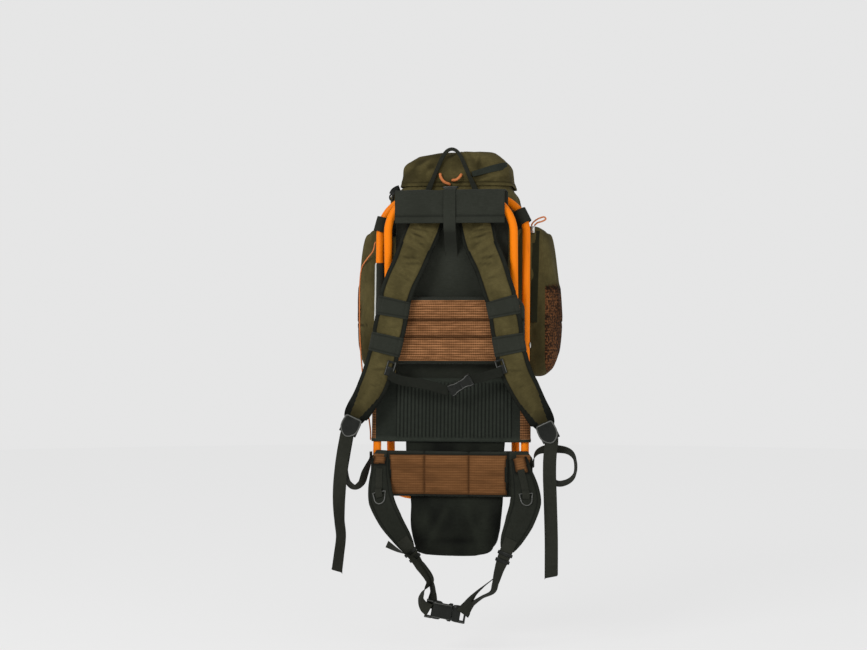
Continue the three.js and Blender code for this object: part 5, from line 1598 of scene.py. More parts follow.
@dataclass
class HipBelt:
    """Lumbar pad, belt wings with their rings, belt webbing, buckle and the pouch behind the pad."""

    bench: Bench
    frame: ChairFrame
    left: float = -157.0
    right: float = 165.0
    top: float = -599.0
    hem: float = -688.0
    back: float = -45.0
    thick: float = 11.0
    crown: float = 6.0
    seams: tuple[float, ...] = (-122.0, -48.0, 40.0, 118.0)
    turn: tuple[float, float] = (112.0, 147.0)
    wing_thick: float = 11.0
    wings: dict[Side, Array] = sided(
        [
            (-134, -53, -611, 32, -0.1, -1, 0.1), (-136, -57, -640, 38, -0.1, -1, 0.2),
            (-135, -65, -668, 48, -0.15, -1, 0.3), (-130, -77, -694, 53, -0.2, -1, 0.35),
            (-110, -90, -732, 48, -0.2, -1, 0.35), (-84, -99, -768, 37, -0.2, -1, 0.3),
            (-72, -103, -786, 27, -0.1, -1, 0.3),
        ],
        [
            (137, -53, -611, 36, 0.1, -1, 0.1), (144, -57, -640, 44, 0.1, -1, 0.2),
            (151, -65, -668, 55, 0.15, -1, 0.3), (154, -77, -694, 61, 0.15, -1, 0.35),
            (143, -90, -732, 56, 0.15, -1, 0.35), (128, -99, -766, 43, 0.15, -1, 0.3),
            (120, -103, -785, 29, 0.1, -1, 0.3),
        ],
    )
    patch_top: float = -606.0
    patch_hem: dict[Side, Array] = sided(-624.0, -638.0)
    ring_share: float = 0.42
    ring_half: float = 14.5
    ring_length: float = 27.0
    ring_wire: float = 2.4
    tab_width: float = 14.0
    tab: tuple[tuple[float, float], ...] = (
        (0.13, 0), (0.19, 0), (0.27, 0), (0.36, 0.6), (0.4, 4.6), (0.425, 5.2), (0.452, 4.4), (0.48, 0.6),
    )
    belt_width: float = 25.0
    seat_shares: tuple[float, float] = (0.84, 0.96)
    keepers: tuple[float, float] = (30.0, 44.0)
    runs: dict[str, Array] = named(
        belt_webbing_left=[
            (-47, -113, -817, 50), (-28, -116, -845, 58), (-22.5, -116.5, -866, 58),
            (-23.5, -118.4, -884, 35), (-26, -119.4, -899, 0),
        ],
        belt_webbing_right=[
            (106, -113, -822, -46), (99, -117, -848, -64), (94, -119, -864, -68), (72, -117, -876, -74),
            (54, -117.5, -889, -68), (42, -119.4, -900, -34), (36, -119.6, -908, 0),
        ],
        belt_return_left=[
            (-27, -134.6, -900, 0), (-37, -133.4, -894, -25), (-44.5, -130, -880, -56),
            (-42, -126, -869, -72), (-35, -124, -858, -98), (-28, -122.3, -845, -122),
            (-47, -119.2, -817, -130), (-60, -119, -804, -110), (-73, -120, -796, -86),
            (-91, -122, -787, -66), (-112, -122, -775, -48),
        ],
        belt_return_right=[
            (91, -111, -843, -86), (78, -119, -853, -84), (60, -129, -869, -74), (46, -134.4, -888, -50),
            (36.5, -134.3, -904, -8),
        ],
    )
    buckle_place: tuple[float, float, float] = (4.0, -127.0, -903.0)
    buckle_along: tuple[float, float, float] = (0.985, 0.0, -0.17)
    buckle_half: float = 18.0
    buckle_thick: float = 12.0
    pouch: Array = table(
        (-804, 50, -48, -40, 3.8, 3), (-800, 66, -51, -38, 6, 5), (-786, 79, -56, -34, 9, 10),
        (-760, 87, -60, -33, 10, 13), (-728, 90, -59, -34, 10, 14.5), (-708, 91, -51, -36.6, 7, 15),
        (-691, 92, -44.4, -36, 4, 14.5), (-650, 94, -44.2, -35, 4, 12.5), (-620, 97, -38, -28, 4, 10.5),
        (-600, 98, -30, -20.6, 4, 9.5), (-584, 99, -25.2, -16, 4, 9.5), (-566, 99, -23.7, -14.5, 4, 9.5),
    )

    def build(self) -> None:
        """Builds the pad, the wings, the webbing, the buckle and the pouch."""
        self.lay_pouch()
        self.lay_lumbar()
        for side in Side:
            self.lay_wing(side)
            self.lay_ring(side)
        for name, rows in self.runs.items():
            self.lay_run(name, rows)
        self.lay_buckle()

    def pad_depth(self, x: Array, z: Array) -> tuple[Array, Array]:
        """The lumbar pad's back and front depth at a place; its ends turn back onto the outer legs.

        Args:
            x: Places across.
            z: Heights.

        Returns:
            Depth of the back and of the front.
        """
        bent = smooth(np.abs(x), *self.turn)
        behind = self.back * (1 - bent) + (self.frame.depth(z, 1) - self.frame.tube - 2 * GAP) * bent
        share = np.clip((self.top - z) / (self.top - self.hem), 0, 1)
        edge = 0.45 + 0.55 * np.sqrt(np.maximum(1 - (2 * share - 1) ** 4, 0.0))
        return behind, behind - (self.thick + self.crown * quilt(x, self.seams)) * edge

    def mesh_inset(self, x: Array, z: Array) -> tuple[Array, Array]:
        """How far inside the bowed border of the lumbar pad's mesh a place lies.

        Args:
            x: Places across.
            z: Heights.

        Returns:
            How far across and how far by height, below 0 outside.
        """
        bow = 5 * (1 - ((z - (self.top + self.hem) / 2) / 44) ** 2)
        aside = np.minimum(x - self.seams[0] - 3 - bow, self.seams[-1] - 1 - bow - x)
        return aside, np.minimum(self.top - 6 - z, z - self.hem - 5)

    def lay_lumbar(self) -> None:
        """A closed pad of three panels: each swells between its seams, and the ends turn back to the legs."""
        face, behind, rows = 170, 60, 40
        s = np.concatenate([np.linspace(0, 1, face), np.linspace(1, 0, behind + 2)[1:-1]])
        front = (np.arange(len(s)) < face)[None]
        z = np.linspace(self.top, self.hem, rows)[:, None]
        edge = np.minimum(self.top - z, z - self.hem)
        x = (self.left + (self.right - self.left) * s)[None] + 0 * z
        round_off = 9 * (1 - smooth(edge, 0, 16))
        x = x - np.sign(x) * round_off * smooth(np.abs(x), 120, 157)
        zz = z + 0 * x
        back, ahead = self.pad_depth(x, zz)
        tuck = sum(bell(x - seam, 2.2) for seam in self.seams)
        pucker = 0.5 * ripple(x / 12 + 32, zz / 8 + 64, (64, 64), 13) * (0.4 + tuck) * smooth(edge, 5, 14)
        y = np.where(front, ahead + 2.0 * tuck * smooth(edge, 2, 12) + pucker, back)
        points = places(x, y, zz)
        # Painted shade: slanting streaks of fold shadow over the mesh, and the pad darkened from 12 to 30 mm
        # below its top downwards, so that its top strip reads lighter as a painted highlight.
        streak = np.clip(0.1 - 0.22 * ripple(x / 34 + zz / 60 + 32, zz / 7 + 96, (64, 64), 14), 0.0, 0.4)
        streak = streak + 0.18 * smooth(self.top - zz, 12, 30)
        inset = np.minimum(*self.mesh_inset(x, zz))
        sewn = np.maximum(0.9 * np.clip(tuck, 0, 1), 0.9 * bell(inset, 2.6))
        seam_and_shade = np.where(front, np.maximum(sewn, streak), 0)
        skin = solid(points, seam_and_shade)
        shown = np.broadcast_to(front, x.shape).reshape(-1)
        middle = skin.middles()
        aside, level = self.mesh_inset(middle[:, 0], middle[:, 2])
        ends = (middle[:, 0] > 133) & (middle[:, 0] < 160) | (middle[:, 0] < -130) & (middle[:, 0] > -152)
        skin.look = np.where(((aside > 0) | ends) & (level > 0) & shown[skin.faces].all(axis=1), 1, 0)
        looks = [Look.BLACK, Look.LUMBAR]
        piece = self.bench.lay("quilted_lumbar_pad", skin, looks, Slot.RUST, ["lumbar_pad"])
        beside = (edge + 0 * x < 6) | (np.abs(x) > 112) | (tuck > 0.4)
        Filling().swell(piece, ~shown | beside.reshape(-1))

    def wing_path(self, side: Side, count: int) -> Array:
        """The wing's middle line with its width and facing."""
        return spline(self.wings[side], count)

    def lay_wing(self, side: Side) -> None:
        """A padded section carried down the wing, kept in front of the lumbar pad where they meet.

        Args:
            side: Which side.
        """
        path = self.wing_path(side, 120)
        section, across = pad_profile()
        run = travel(path)
        ends = 0.6 + 0.4 * smooth(np.minimum(run, run[-1] - run), 0.0, 8.0)
        width = path[:, 3] * (0.88 + 0.12 * ends)
        points = carry(section, path[:, :3], path[:, 4:7], width, self.wing_thick * ends)
        u = section[None, :, 0] * path[:, 3:4] / 2
        v = np.broadcast_to(run[:, None], u.shape)
        bumps = 0.8 * ripple(u / 20 + 32, v / 26, (64, 64), 40 + side.value)
        lift = bumps + 1.4 * fold(u, v, (0.0, 120.0), 80.0, (50.0, 8.0))
        lift = lift * (across < 1.5)[None] * smooth(0.95 - across, 0, 0.25)[None]
        points = points + FRONT * lift[..., None]
        _, ahead = self.pad_depth(points[..., 0], points[..., 2])
        near = (points[..., 2] > self.hem - 2) & (points[..., 0] > self.left) & (points[..., 0] < self.right)
        points[..., 1] = np.where(near, np.minimum(points[..., 1], ahead - 0.4), points[..., 1])
        groove = np.where(across < 1.5, bell(across - 0.74, 0.045), 0.0)
        outer = (points[..., 0] - np.interp(points[..., 2], path[::-1, 2], path[::-1, 0])) * side.value
        tall = np.minimum(points[..., 2] - self.patch_hem[side], self.patch_top - points[..., 2])
        inset = np.minimum(tall, np.minimum(outer + 9, 14 - outer))
        seam_and_shade = np.maximum(0.7 * groove[None], 0.95 * bell(inset, 4.0))
        skin = solid(points, seam_and_shade)
        skin.look = np.where(inset.reshape(-1)[skin.faces].mean(axis=1) > 0, 1, 0)
        nodes = [f"belt_wing_{side.word}"]
        piece = self.bench.lay(f"padded_wing_{side.word}", skin, [Look.TAPE, Look.LUMBAR], Slot.BLACK, nodes)

    def on_wing(self, side: Side, share: float, lift: float) -> tuple[Array, Array, Array]:
        """A place over a wing's face.

        Args:
            side: Which wing.
            share: Share of its length from the root.
            lift: Height over its crown in mm.

        Returns:
            The place, the direction along the wing, and the direction off its face.
        """
        rows = self.wing_path(side, 61)
        i = int(min(max(round(share * 60), 1), 59))
        along = unit(rows[i + 1, :3] - rows[i - 1, :3])
        out = unit(rows[i, 4:7] - along * (rows[i, 4:7] @ along))
        return rows[i, :3] + out * (self.wing_thick / 2 * 1.12 + lift), along, out

    def lay_ring(self, side: Side) -> None:
        """A bent wire ring, a bar under a round bow with sloping sides, and the webbing tab that holds it.

        Args:
            side: Which side.
        """
        place, along, out = self.on_wing(side, self.ring_share, 2 * GAP + self.ring_wire / 2)
        across = np.cross(along, out)
        half = self.ring_half - self.ring_wire / 2
        turn = np.linspace(0.0, math.pi, 22)
        far = self.ring_length - self.ring_half
        bow = places(half * 0.82 * np.cos(turn), far + half * np.sin(turn))
        flat = places(np.linspace(-half, half, 14), np.full(14, self.ring_wire / 2))
        outline = np.vstack([bow, flat])
        path = place + across * outline[:, :1] + along * outline[:, 1:]
        skin = rod(path, self.ring_wire / 2, 12, closed=True)
        self.bench.lay(f"wire_ring_{side.word}", skin, [Look.RING], Slot.PLASTIC, [f"d_ring_{side.word}"])
        rows = []
        for share, lift in self.tab:
            spot, _, facing = self.on_wing(side, share, lift + GAP + WEBBING / 2)
            rows.append(np.concatenate([spot, facing]))
        skin = web(np.array(rows), self.tab_width, 50)
        self.bench.lay(f"wing_tab_{side.word}", skin, [Look.WEBBING], Slot.WEBBING, [f"ring_tab_{side.word}"])

    def lay_run(self, name: str, rows: Array) -> None:
        """A run of belt webbing turned about its path, which starts flat on its wing's tip if sewn there.

        Args:
            name: The run's node.
            rows: Knots of its path: x, y, z and its turn from the viewer in degrees.
        """
        if name.startswith("belt_webbing"):
            side = Side[name.rsplit("_", 1)[1].upper()]
            seats = []
            for share in self.seat_shares:
                place, along, facing = self.on_wing(side, share, 2 * GAP + WEBBING / 2)
                lean = math.atan2(float(facing @ unit(np.cross(along, FRONT))), float(facing @ FRONT))
                seats.append([*place, math.degrees(lean)])
            rows = np.vstack([np.array(seats), rows])
        path = spline(rows, 110)
        along = unit(np.gradient(path[:, :3], axis=0))
        turn = np.radians(path[:, 3:4])
        facing = FRONT * np.cos(turn) + unit(np.cross(along, FRONT)) * np.sin(turn)
        skins = [solid(strip(np.hstack([path[:, :3], facing]), self.belt_width))]
        if name.startswith("belt_webbing"):
            skins += [self.keeper(path, facing, at) for at in self.keepers]
        self.bench.lay(f"{name}_run", joined(*skins), [Look.WEBBING, Look.PLASTIC], Slot.WEBBING, [name])

    def keeper(self, path: Array, facing: Array, at: float) -> Skin:
        """A moulded keeper round the webbing: a flat bar across it with rounded ends.

        Args:
            path: The webbing's middle line.
            facing: Which way its face looks.
            at: How far down it the keeper sits, in mm.

        Returns:
            The closed skin, in the second finish.
        """
        run = travel(path)
        i = int(np.searchsorted(run, at))
        along = unit(path[i + 1, :3] - path[i - 1, :3])
        out = unit(facing[i] - along * (facing[i] @ along))
        aside = np.cross(along, out) * (self.belt_width / 2 + 2.5)
        middle = path[i, :3] + out * 0.4
        return bar(middle - aside, middle + aside, out, 7.0, 5.0).second()

    def lay_buckle(self) -> None:
        """A side release buckle: a socket with shoulders and a plug, each with a webbing bar."""
        place, along = np.array(self.buckle_place), unit(np.array(self.buckle_along))
        across = np.cross(along, FRONT)
        half, thick = self.buckle_half, self.buckle_thick

        def body(share: Sequence[float], wide: Sequence[float], deep: Sequence[float]) -> Skin:
            """A section carried along the buckle's axis."""
            path = place + along * np.array(share)[:, None]
            return solid(carry(BAR_PROFILE, path, FRONT, 2 * np.array(wide), np.array(deep)))

        def rails(low: float, high: float, aside: float) -> list[Skin]:
            """A bar along each side of a webbing slot.

            Args:
                low: Where the bars start along the buckle.
                high: Where they end.
                aside: How far from its middle they lie.

            Returns:
                Both bars.
            """
            start, end = place + along * low, place + along * high
            steps = (across * -aside, across * aside)
            return [bar(start + step, end + step, FRONT, 5.0, thick * 0.8) for step in steps]

        def cross(at: float, wide: float, deep: float) -> Skin:
            """A bar across the buckle."""
            middle, reach = place + along * at, across * (wide - 1)
            return bar(middle - reach, middle + reach, FRONT, 4.0, deep)

        def lips(low: float, high: float, aside: float, ahead: float) -> list[Skin]:
            """A lip along each side of the buckle's face, in grey: a painted highlight."""
            run = place + along * np.linspace(low, high, 10)[:, None] + FRONT * ahead
            return [highlight_lip(run + across * a) for a in (-aside, aside)]

        shoulders = half - np.array([3, 0.6, 0, 0.5, 3.4, 3.4, 0.6, 0.6, 2])
        depths = thick - np.array([4, 2, 0, 0, 0, 0, 0, 1, 3])
        socket = joined(
            body((-28, -27, -20, -12, -8, 2, 6, 11, 12), shoulders, depths), *rails(-40, -26, half - 2.5),
            cross(-38, half, thick * 0.8), *lips(-26, 10, half - 4.6, thick / 2),
            *lips(-39, -27, half - 2.5, thick * 0.4),
        )
        self.bench.lay("belt_socket", socket, [Look.PLASTIC, Look.RING], Slot.PLASTIC, ["belt_buckle_socket"])
        arms = half - np.array([4, 2.5, 1.5, 1.5, 3])
        plug = joined(
            body((12.4, 13.5, 20, 26, 28), arms, (7, 9, 10, 9, 7)), *rails(26, 39, half - 4),
            cross(37, half - 1.5, thick * 0.75), *lips(27, 38, half - 4, thick * 0.4),
        )
        self.bench.lay("belt_plug", plug, [Look.PLASTIC, Look.RING], Slot.PLASTIC, ["belt_buckle_plug"])

    def lay_pouch(self) -> None:
        """A flat pouch: rounded rings from its foot up to its mouth, with soft upright folds."""
        z = np.concatenate([np.linspace(-804, -780, 14)[:-1], np.linspace(-780, -566, 64)])
        points = shell(self.pouch, z, (56, 2), 5)
        x, zz = points[..., 0], points[..., 2]
        low = 1 - smooth(zz, -712, -696)
        lift = 1.6 * ripple(x / 24 + 32, zz / 46 + 64, (64, 64), 17)
        for place, turn, size, height in (
            ((-20.0, -745.0), 62.0, (60.0, 9.0), 2.0), ((52.0, -750.0), 112.0, (60.0, 9.0), 1.8),
            ((15.0, -775.0), 0.0, (60.0, 7.0), -1.5),
        ):
            lift = lift + height * fold(x, zz, place, turn, size)
        points = points + ring_out(points) * (lift * low)[..., None]
        points = drawn_in(points, (0.8, 0.5, 0.15), -2.0, True)
        skin = solid(points)
        # Painted shade and light of the folds: darker in their valleys, lighter on their ridges.
        skin.seam_and_shade[3 * x.shape[1]:] = np.clip(0.45 - 0.28 * lift, 0.0, 0.9).reshape(-1)
        self.bench.lay("pouch_cloth", skin, [Look.POUCH], Slot.BLACK, ["butt_pocket"])


@dataclass
class Rucksack:
    """The bag with its lid, zips, cords, side pockets, haul loop and the loops that tie it to the stool."""

    bench: Bench
    frame: ChairFrame
    bag: Array = table(
        (-560, 84, 66, 200, 20, 0), (-556, 104, 52, 214, 26, 0), (-542, 118, 45, 220, 28, 0),
        (-505, 126, 44, 224, 30, 0), (-380, 130, 44, 226, 30, 0), (-240, 131, 44, 226, 30, 0),
        (-125, 131, 44, 222, 30, -2), (-100, 129.5, 44.2, 216, 30, -5.5), (-82, 124, 45.5, 210, 30, -6),
        (-75, 114, 47, 208, 30, -2), (-68, 108, 48, 206, 30, 0), (-40, 101, 49, 202, 30, 0),
    )
    lid: Array = table(
        (-68, 115, 44.5, 222, 34), (-46, 111, 44.5, 224, 34), (-27, 105.5, 45, 222, 36),
        (-14, 96, 48, 216, 36), (-5.5, 85, 55, 208, 34), (1, 70, 68, 194, 32), (4.5, 48, 92, 172, 28),
    )
    floor_seam: float = -505.0
    lid_zip: tuple[float, float, float, float] = (36.0, 102.5, -36.5, 0.27)
    lid_cords: dict[str, Array] = named(
        lid_cord_left=[
            (-28.5, 43.9, -44.5), (-28.5, 39, -45.5), (-26, 35, -53), (-19.5, 34, -61), (-10.5, 38.5, -65),
            (-9.6, 43.9, -65),
        ],
        lid_cord_right=[
            (-3, 43.9, -57), (-2.6, 38.5, -57.4), (5, 34, -57), (12, 35, -51), (14, 39, -47), (14, 43.9, -46),
        ],
    )
    haul: tuple[tuple[float, ...], ...] = (
        (52, -118, 22, 5), (51, -98, 17, 5), (48, -78, 12, 5.2), (37, -52, 8.2, 5.5), (26.5, -27, 8.2, 5.5),
        (16.5, -6.4, 7.6, 5.5), (8.4, 3.0, 7.0, 5.5),
    )
    haul_place: tuple[float, float, float] = (-5.0, 41.0, 5.0)
    pocket: Array = table(
        (124, -450, -152, 60, 206, 34), (156, -452, -150, 56, 210, 38), (180, -448, -160, 62, 206, 40),
        (195, -430, -186, 76, 196, 40), (201, -414, -232, 90, 184, 34), (206, -396, -276, 104, 172, 28),
        (209, -372, -318, 120, 156, 16),
    )
    zip_cord: Array = table(
        (155, 61, -150.1), (156.5, 61, -145), (164, 60, -138), (173, 59, -133.5), (181, 59, -132),
        (184, 59, -136), (177, 59, -140.5), (167, 60, -143.5), (160.5, 61, -149.3),
    )
    elastic: Array = table(
        (-158.2, 20, -182), (-166, 38, -200), (-180, 54, -214), (-194.5, 71, -232), (-201, 85, -262),
        (-202.2, 88, -312), (-201, 85, -372), (-190, 52, -448), (-173, 10, -516), (-162.5, -14, -562),
        (-161.35, -19.5, -580),
    )
    net_start: dict[Side, Array] = sided(200.0, 181.0)
    lid_cord_thick: float = 5.8
    zip_cord_thick: float = 3.2
    elastic_thick: float = 3.0
    side_ring: tuple[float, float, float] = (-130.0, 50.5, -90.0)
    clamp_width: float = 30.0
    clamp_turns: dict[Side, Array] = sided(15.0, 27.0)

    def build(self) -> None:
        """Builds the bag and all that is sewn to it."""
        self.lay_bag()
        self.lay_lid()
        self.lay_lid_zip()
        self.lay_haul_loop()
        for side in Side:
            self.lay_pocket(side)
            self.lay_clamp(side)
        self.lay_zip()
        self.lay_cords()
        self.lay_side_ring()

    def lay_bag(self) -> None:
        """A sack of rounded rings from its floor to its collar, with slack folds and a sewn floor."""
        floor, collar = self.bag[0, 0], self.bag[-1, 0]
        low = np.linspace(floor, self.floor_seam, 18)[:-1]
        z = np.concatenate([low, np.linspace(self.floor_seam, collar, 84)])
        points = shell(self.bag, z, (34, 24), 8)
        columns = points.shape[1]
        around = np.arange(columns)[None] / columns
        zz = points[..., 2]
        slack = 2.2 * ripple(around * 22, zz / 90 + 16, (22, 16), 23)
        slack = slack + 1.2 * ripple(around * 44, zz / 34 + 32, (44, 32), 24)
        away = smooth(points[..., 1], 60, 90)
        seam = bell(zz - self.floor_seam, 2.5)
        loose = (0.15 + 0.85 * away) * smooth(zz, -556, -520) * (1 - smooth(zz, -110, -80))
        lift = slack * loose - 1.2 * seam
        points = points + ring_out(points) * lift[..., None]
        points = drawn_in(points, (0.75, 0.4, 0.1), -1.5, True)
        seam_and_shade = np.concatenate([np.zeros((3, columns)), 0.8 * seam])
        skin = solid(points, seam_and_shade)
        skin.look = np.where(skin.middles()[:, 2] < self.floor_seam, 1, 0)
        self.bench.lay("bag_cloth", skin, [Look.GREEN, Look.BLACK], Slot.GREEN, ["main_bag"])

    def lid_points(self, x: Array, z: Array) -> Array:
        """Places on the lid's back skin: straight across, then round the corner on its radius.

        Args:
            x: Places across.
            z: Heights.

        Returns:
            The points.
        """
        half, back, _, radius = through(self.lid, z).T
        past = np.maximum(x - (half - radius), 0.0)
        depth = back + radius - np.sqrt(np.maximum(radius**2 - past**2, 0.0))
        return places(x, depth, z)

    def lay_lid(self) -> None:
        """A cap of rounded rings from its hem up over a low dome, with slack folds round its crown."""
        z = np.concatenate([np.linspace(-68, -14, 30)[:-1], np.linspace(-14, 4.5, 26)])
        points = shell(self.lid, z, (52, 30), 10)
        points = drawn_in(points, (0.9, 0.75, 0.55, 0.32, 0.1), 1.5, False)
        columns = points.shape[1]
        around = np.arange(columns)[None] / columns
        x, y, zz = points[..., 0].copy(), points[..., 1], points[..., 2].copy()
        slack = 2.0 * ripple(around * 20, zz / 26 + 8, (20, 16), 27)
        slack = slack + 1.2 * ripple(around * 44, zz / 14 + 8, (44, 32), 28)
        near = 1 - smooth(y, 50, 70)
        for place, turn, size, height in (
            ((50.0, -22.0), 84.0, (15.0, 3.5), -2.6), ((-62.0, -30.0), 68.0, (26.0, 6.0), 2.4),
            ((-84.0, -34.0), 60.0, (26.0, 5.0), -2.0), ((20.0, -24.0), 110.0, (22.0, 6.0), 1.8),
            ((86.0, -50.0), 20.0, (26.0, 4.0), 2.2), ((58.0, -58.0), 12.0, (30.0, 4.0), 1.6),
        ):
            slack = slack + height * near * fold(x, zz, place, turn, size)
        slack[-5:] *= np.array([0.8, 0.5, 0.3, 0.15, 0.05])[:, None]
        hem = bell(zz + 61, 1.6)
        points = points + ring_out(points) * (slack * smooth(zz, -64, -50) - 0.6 * hem)[..., None]
        points[..., 2] -= 5.0 * smooth(-x, 20, 70) * (1 - smooth(-x, 85, 112)) * smooth(zz, -40, -10)
        # Painted shade: darker in the valleys of the slack folds.
        valley_shade = np.clip(0.24 - 0.26 * slack, 0.0, 0.65)
        skin = grid(points, round_across=True, seam_and_shade=np.maximum(0.8 * hem, valley_shade))
        k = np.arange(columns // 2 - 1) + (len(points) - 1) * columns
        far = (len(points) - 1) * columns + columns - 1 - np.arange(columns // 2 - 1)
        top = places(k, k + 1, far - 1, far)
        skin.faces = np.vstack([skin.faces, top])
        skin.uv = np.vstack([skin.uv, np.zeros((len(top), 4, 2))])
        skin.look = np.zeros(len(skin.faces), int)
        self.bench.lay("lid_cloth", skin.outward(), [Look.GREEN], Slot.GREEN, ["lid"])

    def lay_lid_zip(self) -> None:
        """A zip band laid on the lid's back: webbing's section carried up and round the corner."""
        start, end, height, rise = self.lid_zip
        x = np.linspace(start, end, 40)
        z = height + rise * (x - (start + end) / 2)
        path = self.lid_points(x, z)
        out = unit(places(np.gradient(path[:, 1], x), np.full(len(x), -1.0), np.zeros(len(x))))
        points = carry(WEB_PROFILE, path + out * 2.0, out, np.linspace(11.0, 15.0, 40), 2.4)
        skin = solid(points)
        self.bench.lay("lid_zip_band", skin, [Look.BAND], Slot.BLACK, ["lid_zip"])

    def lay_haul_loop(self) -> None:
        """Folded webbing carried up one leg, over the crown and down the other."""
        x0, y0, crown = self.haul_place
        half = np.array([(x0 - a, y0, z, t, w) for a, z, w, t in self.haul])
        other = (half * np.array([-1, 1, 1, 1, 1]) + np.array([2 * x0, 0, 0, 0, 0]))[::-1]
        rows = spline(np.vstack([half, (x0, y0, crown + 0.8, 5.5, 6.8), other]), 110)
        spoke = rows[:, :3] - np.array([x0, y0, -60.0])
        points = carry(WEB_PROFILE[:, ::-1], rows[:, :3], unit(spoke), rows[:, 3], rows[:, 4])
        skin = solid(points)
        self.bench.lay("haul_webbing", skin, [Look.WEBBING], Slot.WEBBING, ["haul_loop"])

    def lay_pocket(self, side: Side) -> None:
        """A dome of rounded rings that lean out from the bag's side, with a raised net on its outer half.

        Args:
            side: Which side.
        """
        x = np.concatenate([np.linspace(124, 195, 34)[:-1], np.linspace(195, 209, 14)])
        bottom, top, near, far, radius = through(self.pocket, x).T
        ring = rounded_rings(near, far, bottom, top, radius, (18, 40), 9)
        points = places(x[:, None], ring[..., 0], ring[..., 1])
        end = points[-1]
        middle = end.mean(axis=0)
        shrunk = [middle + (end - middle) * share + (0.6 * (1 - share), 0, 0) for share in (0.8, 0.5, 0.2)]
        points = np.concatenate([points, np.stack(shrunk)])
        columns = points.shape[1]
        around = np.arange(columns)[None] / columns
        y, z = points[..., 1], points[..., 2]
        slack = 1.7 * ripple(around * 16, points[..., 0] / 20, (16, 16), 50 + side.value)
        slack = slack + 0.8 * ripple(around * 36, points[..., 0] / 9, (36, 32), 60 + side.value)
        seam = bell(z + 350, 2.0)
        reach = smooth(points[..., 0], self.net_start[side], self.net_start[side] + 3)
        outer = np.maximum(reach, smooth(y, 96, 100) * smooth(points[..., 0], 138, 142))
        panel = outer * (1 - smooth(z, -272, -268))
        out = ring_out(points)
        lift = slack * smooth(points[..., 0], 128, 150) - 1.2 * seam * (1 - panel) + 1.6 * panel
        points = points + out * lift[..., None]
        points[..., 0] *= side.value
        # Painted shade: darker in the valleys of the slack folds; the pocket is also darker towards its foot,
        # and the net is drawn darker at the pocket's outer end.
        valley_shade = np.clip(0.15 - 0.24 * slack, 0.0, 0.6) + 0.25 * (1 - smooth(z, -420, -330))
        rim = 0.42 * smooth(points[..., 0] * side.value, 201, 206) * panel
        hem = bell(z + 273, 5) * outer + rim
        deep = np.maximum(np.maximum(0.8 * seam, valley_shade) * (1 - panel), np.minimum(hem, 0.9))
        skin = solid(points, deep)
        inside = np.broadcast_to(panel, points.shape[:2]).reshape(-1)
        skin.look = np.where(inside[skin.faces].mean(axis=1) > 0.5, 1, 0)
        nodes = [f"side_pocket_{side.word}", f"mesh_pocket_{side.word}"]
        self.bench.lay(f"pocket_cloth_{side.word}", skin, [Look.GREEN, Look.POCKET], Slot.GREEN, nodes)

    def lay_clamp(self, side: Side) -> None:
        """A webbing loop round the outer loop's bend: a flat section carried round a long ring.

        Args:
            side: Which side.
        """
        turn = math.radians(self.clamp_turns[side])
        z = self.frame.top - self.frame.bend + self.frame.bend * math.sin(turn)
        x = side.value * (self.frame.outer_half - self.frame.bend + self.frame.bend * math.cos(turn))
        lean = self.frame.splay / (self.frame.top - self.frame.pivot)
        facing = unit(np.array([-side.value * math.sin(turn), lean * math.cos(turn), math.cos(turn)]))
        back = np.array([-side.value * 0.85, 1.0, 0.0])
        flat = unit(back - facing * (back @ facing))
        aside = np.cross(flat, facing)
        radius = self.frame.tube + GAP + 2.3 + 1.25
        loop = rounded_rings(-radius, radius, -radius, 34 + radius - 8, radius - 0.05, (1, 14), 9)[0]
        middle = np.array([x, float(self.frame.depth(z, 1)), z])
        path = middle + aside * loop[:, :1] + flat * loop[:, 1:]
        away = unit(np.roll(path, -1, axis=0) - np.roll(path, 1, axis=0))
        out = np.cross(away, facing)
        across = facing * (WEB_PROFILE[:, :1] * self.clamp_width / 2)
        points = path[:, None] + across + out[:, None] * WEB_PROFILE[None, :, 1:] * 1.2
        skin = grid(points, round_across=True, round_along=True).outward()
        nodes = [f"frame_clamp_{side.word}"]
        self.bench.lay(f"clamp_loop_{side.word}", skin, [Look.WEBBING], Slot.WEBBING, nodes)

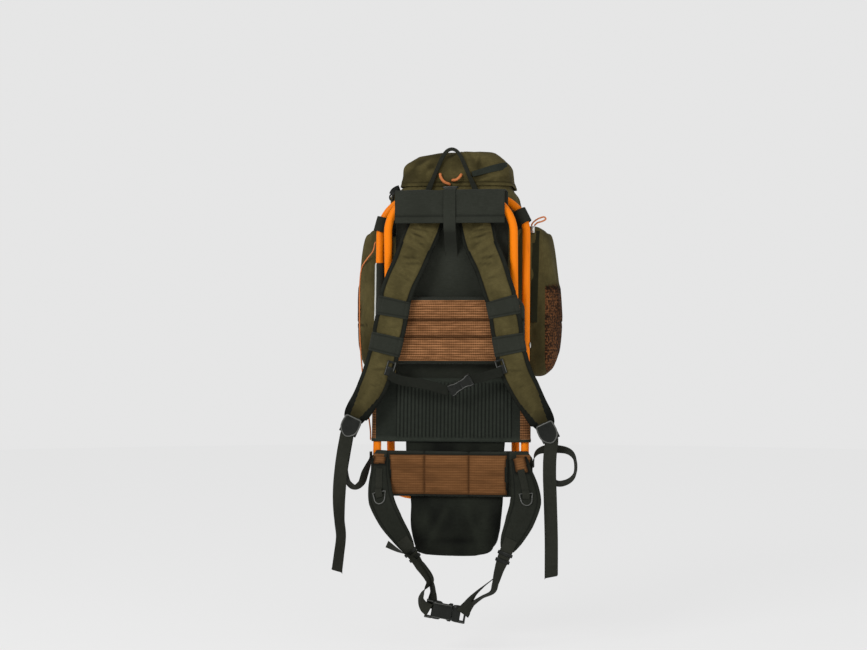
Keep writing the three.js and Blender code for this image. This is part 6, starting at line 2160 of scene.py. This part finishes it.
    def lay_zip(self) -> None:
        """The right pocket's zip: a band down the pocket's near face, and a slider at its top."""
        z = np.linspace(-345, -160, 50)
        _, top, near, _, radius = through(self.pocket, np.array([164.0]))[0]
        past = np.maximum(z - (top - radius), 0.0)
        depth = near - 0.6 + radius - np.sqrt(radius**2 - past**2)
        path = places(164.0 - 4.0 * smooth(-z, 170, 345), depth, z)
        skin = solid(carry(WEB_PROFILE, path, FRONT, 14.0, 2.0))
        self.bench.lay("pocket_zip_band", skin, [Look.ZIP], Slot.BLACK, ["pocket_zip_right"])
        skin = joined(
            bar(np.array([157.0, 61, -164]), np.array([157.0, 61, -151]), FRONT, 9.0, 5.0),
            bar(np.array([157.0, 58.6, -160]), np.array([157.0, 58.6, -152]), FRONT, 4.0, 3.0),
        )
        self.bench.lay("zip_pull", skin, [Look.STEEL], Slot.STEEL, ["zip_slider_right"])

    def lay_cords(self) -> None:
        """The cords: round sections carried along their routes."""
        routes = {name: (rows, self.lid_cord_thick) for name, rows in self.lid_cords.items()}
        routes["zip_cord_right"] = (self.zip_cord, self.zip_cord_thick)
        routes["elastic_cord"] = (self.elastic, self.elastic_thick)
        for name, (rows, thick) in routes.items():
            path = spline(rows, 80)
            piece = self.bench.lay(f"{name}_line", rod(path, thick / 2, 12), [Look.CORD], Slot.CORD, [name])

    def lay_side_ring(self) -> None:
        """A small ring at the bag's upper left corner: a wire carried round an oval, and its webbing tab."""
        up = np.array([0.0, 0.0, 1.0])
        across = np.cross(unit(np.array([-0.35, -0.94, 0.0])), up)
        turn = np.linspace(0.0, 2 * math.pi, 30, endpoint=False)
        outline = places(3.9 * np.cos(turn), 5.8 * np.sin(turn))
        path = np.array(self.side_ring) + across * outline[:, :1] + up * outline[:, 1:]
        tab = faced([(-115, 60, -70), (-120, 55.5, -72), (-126, 51, -77), (-129.6, 49.6, -84)])
        skin = joined(rod(path, 1.7, 10, closed=True), web(tab, 11.0, 20))
        self.bench.lay("corner_ring", skin, [Look.PLASTIC], Slot.PLASTIC, ["side_ring"])


def main() -> None:
    """Builds the studio and the pack's sub-assemblies in order."""
    logging.basicConfig(level=logging.INFO, format="%(message)s")
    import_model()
    Studio().build()
    bench = Bench()
    frame = ChairFrame(bench)
    Rucksack(bench, frame).build()
    frame.build()
    BackPanel(bench).build()
    ShoulderHarness(bench).build()
    HipBelt(bench, frame).build()


if __name__ == "__main__":
    main()
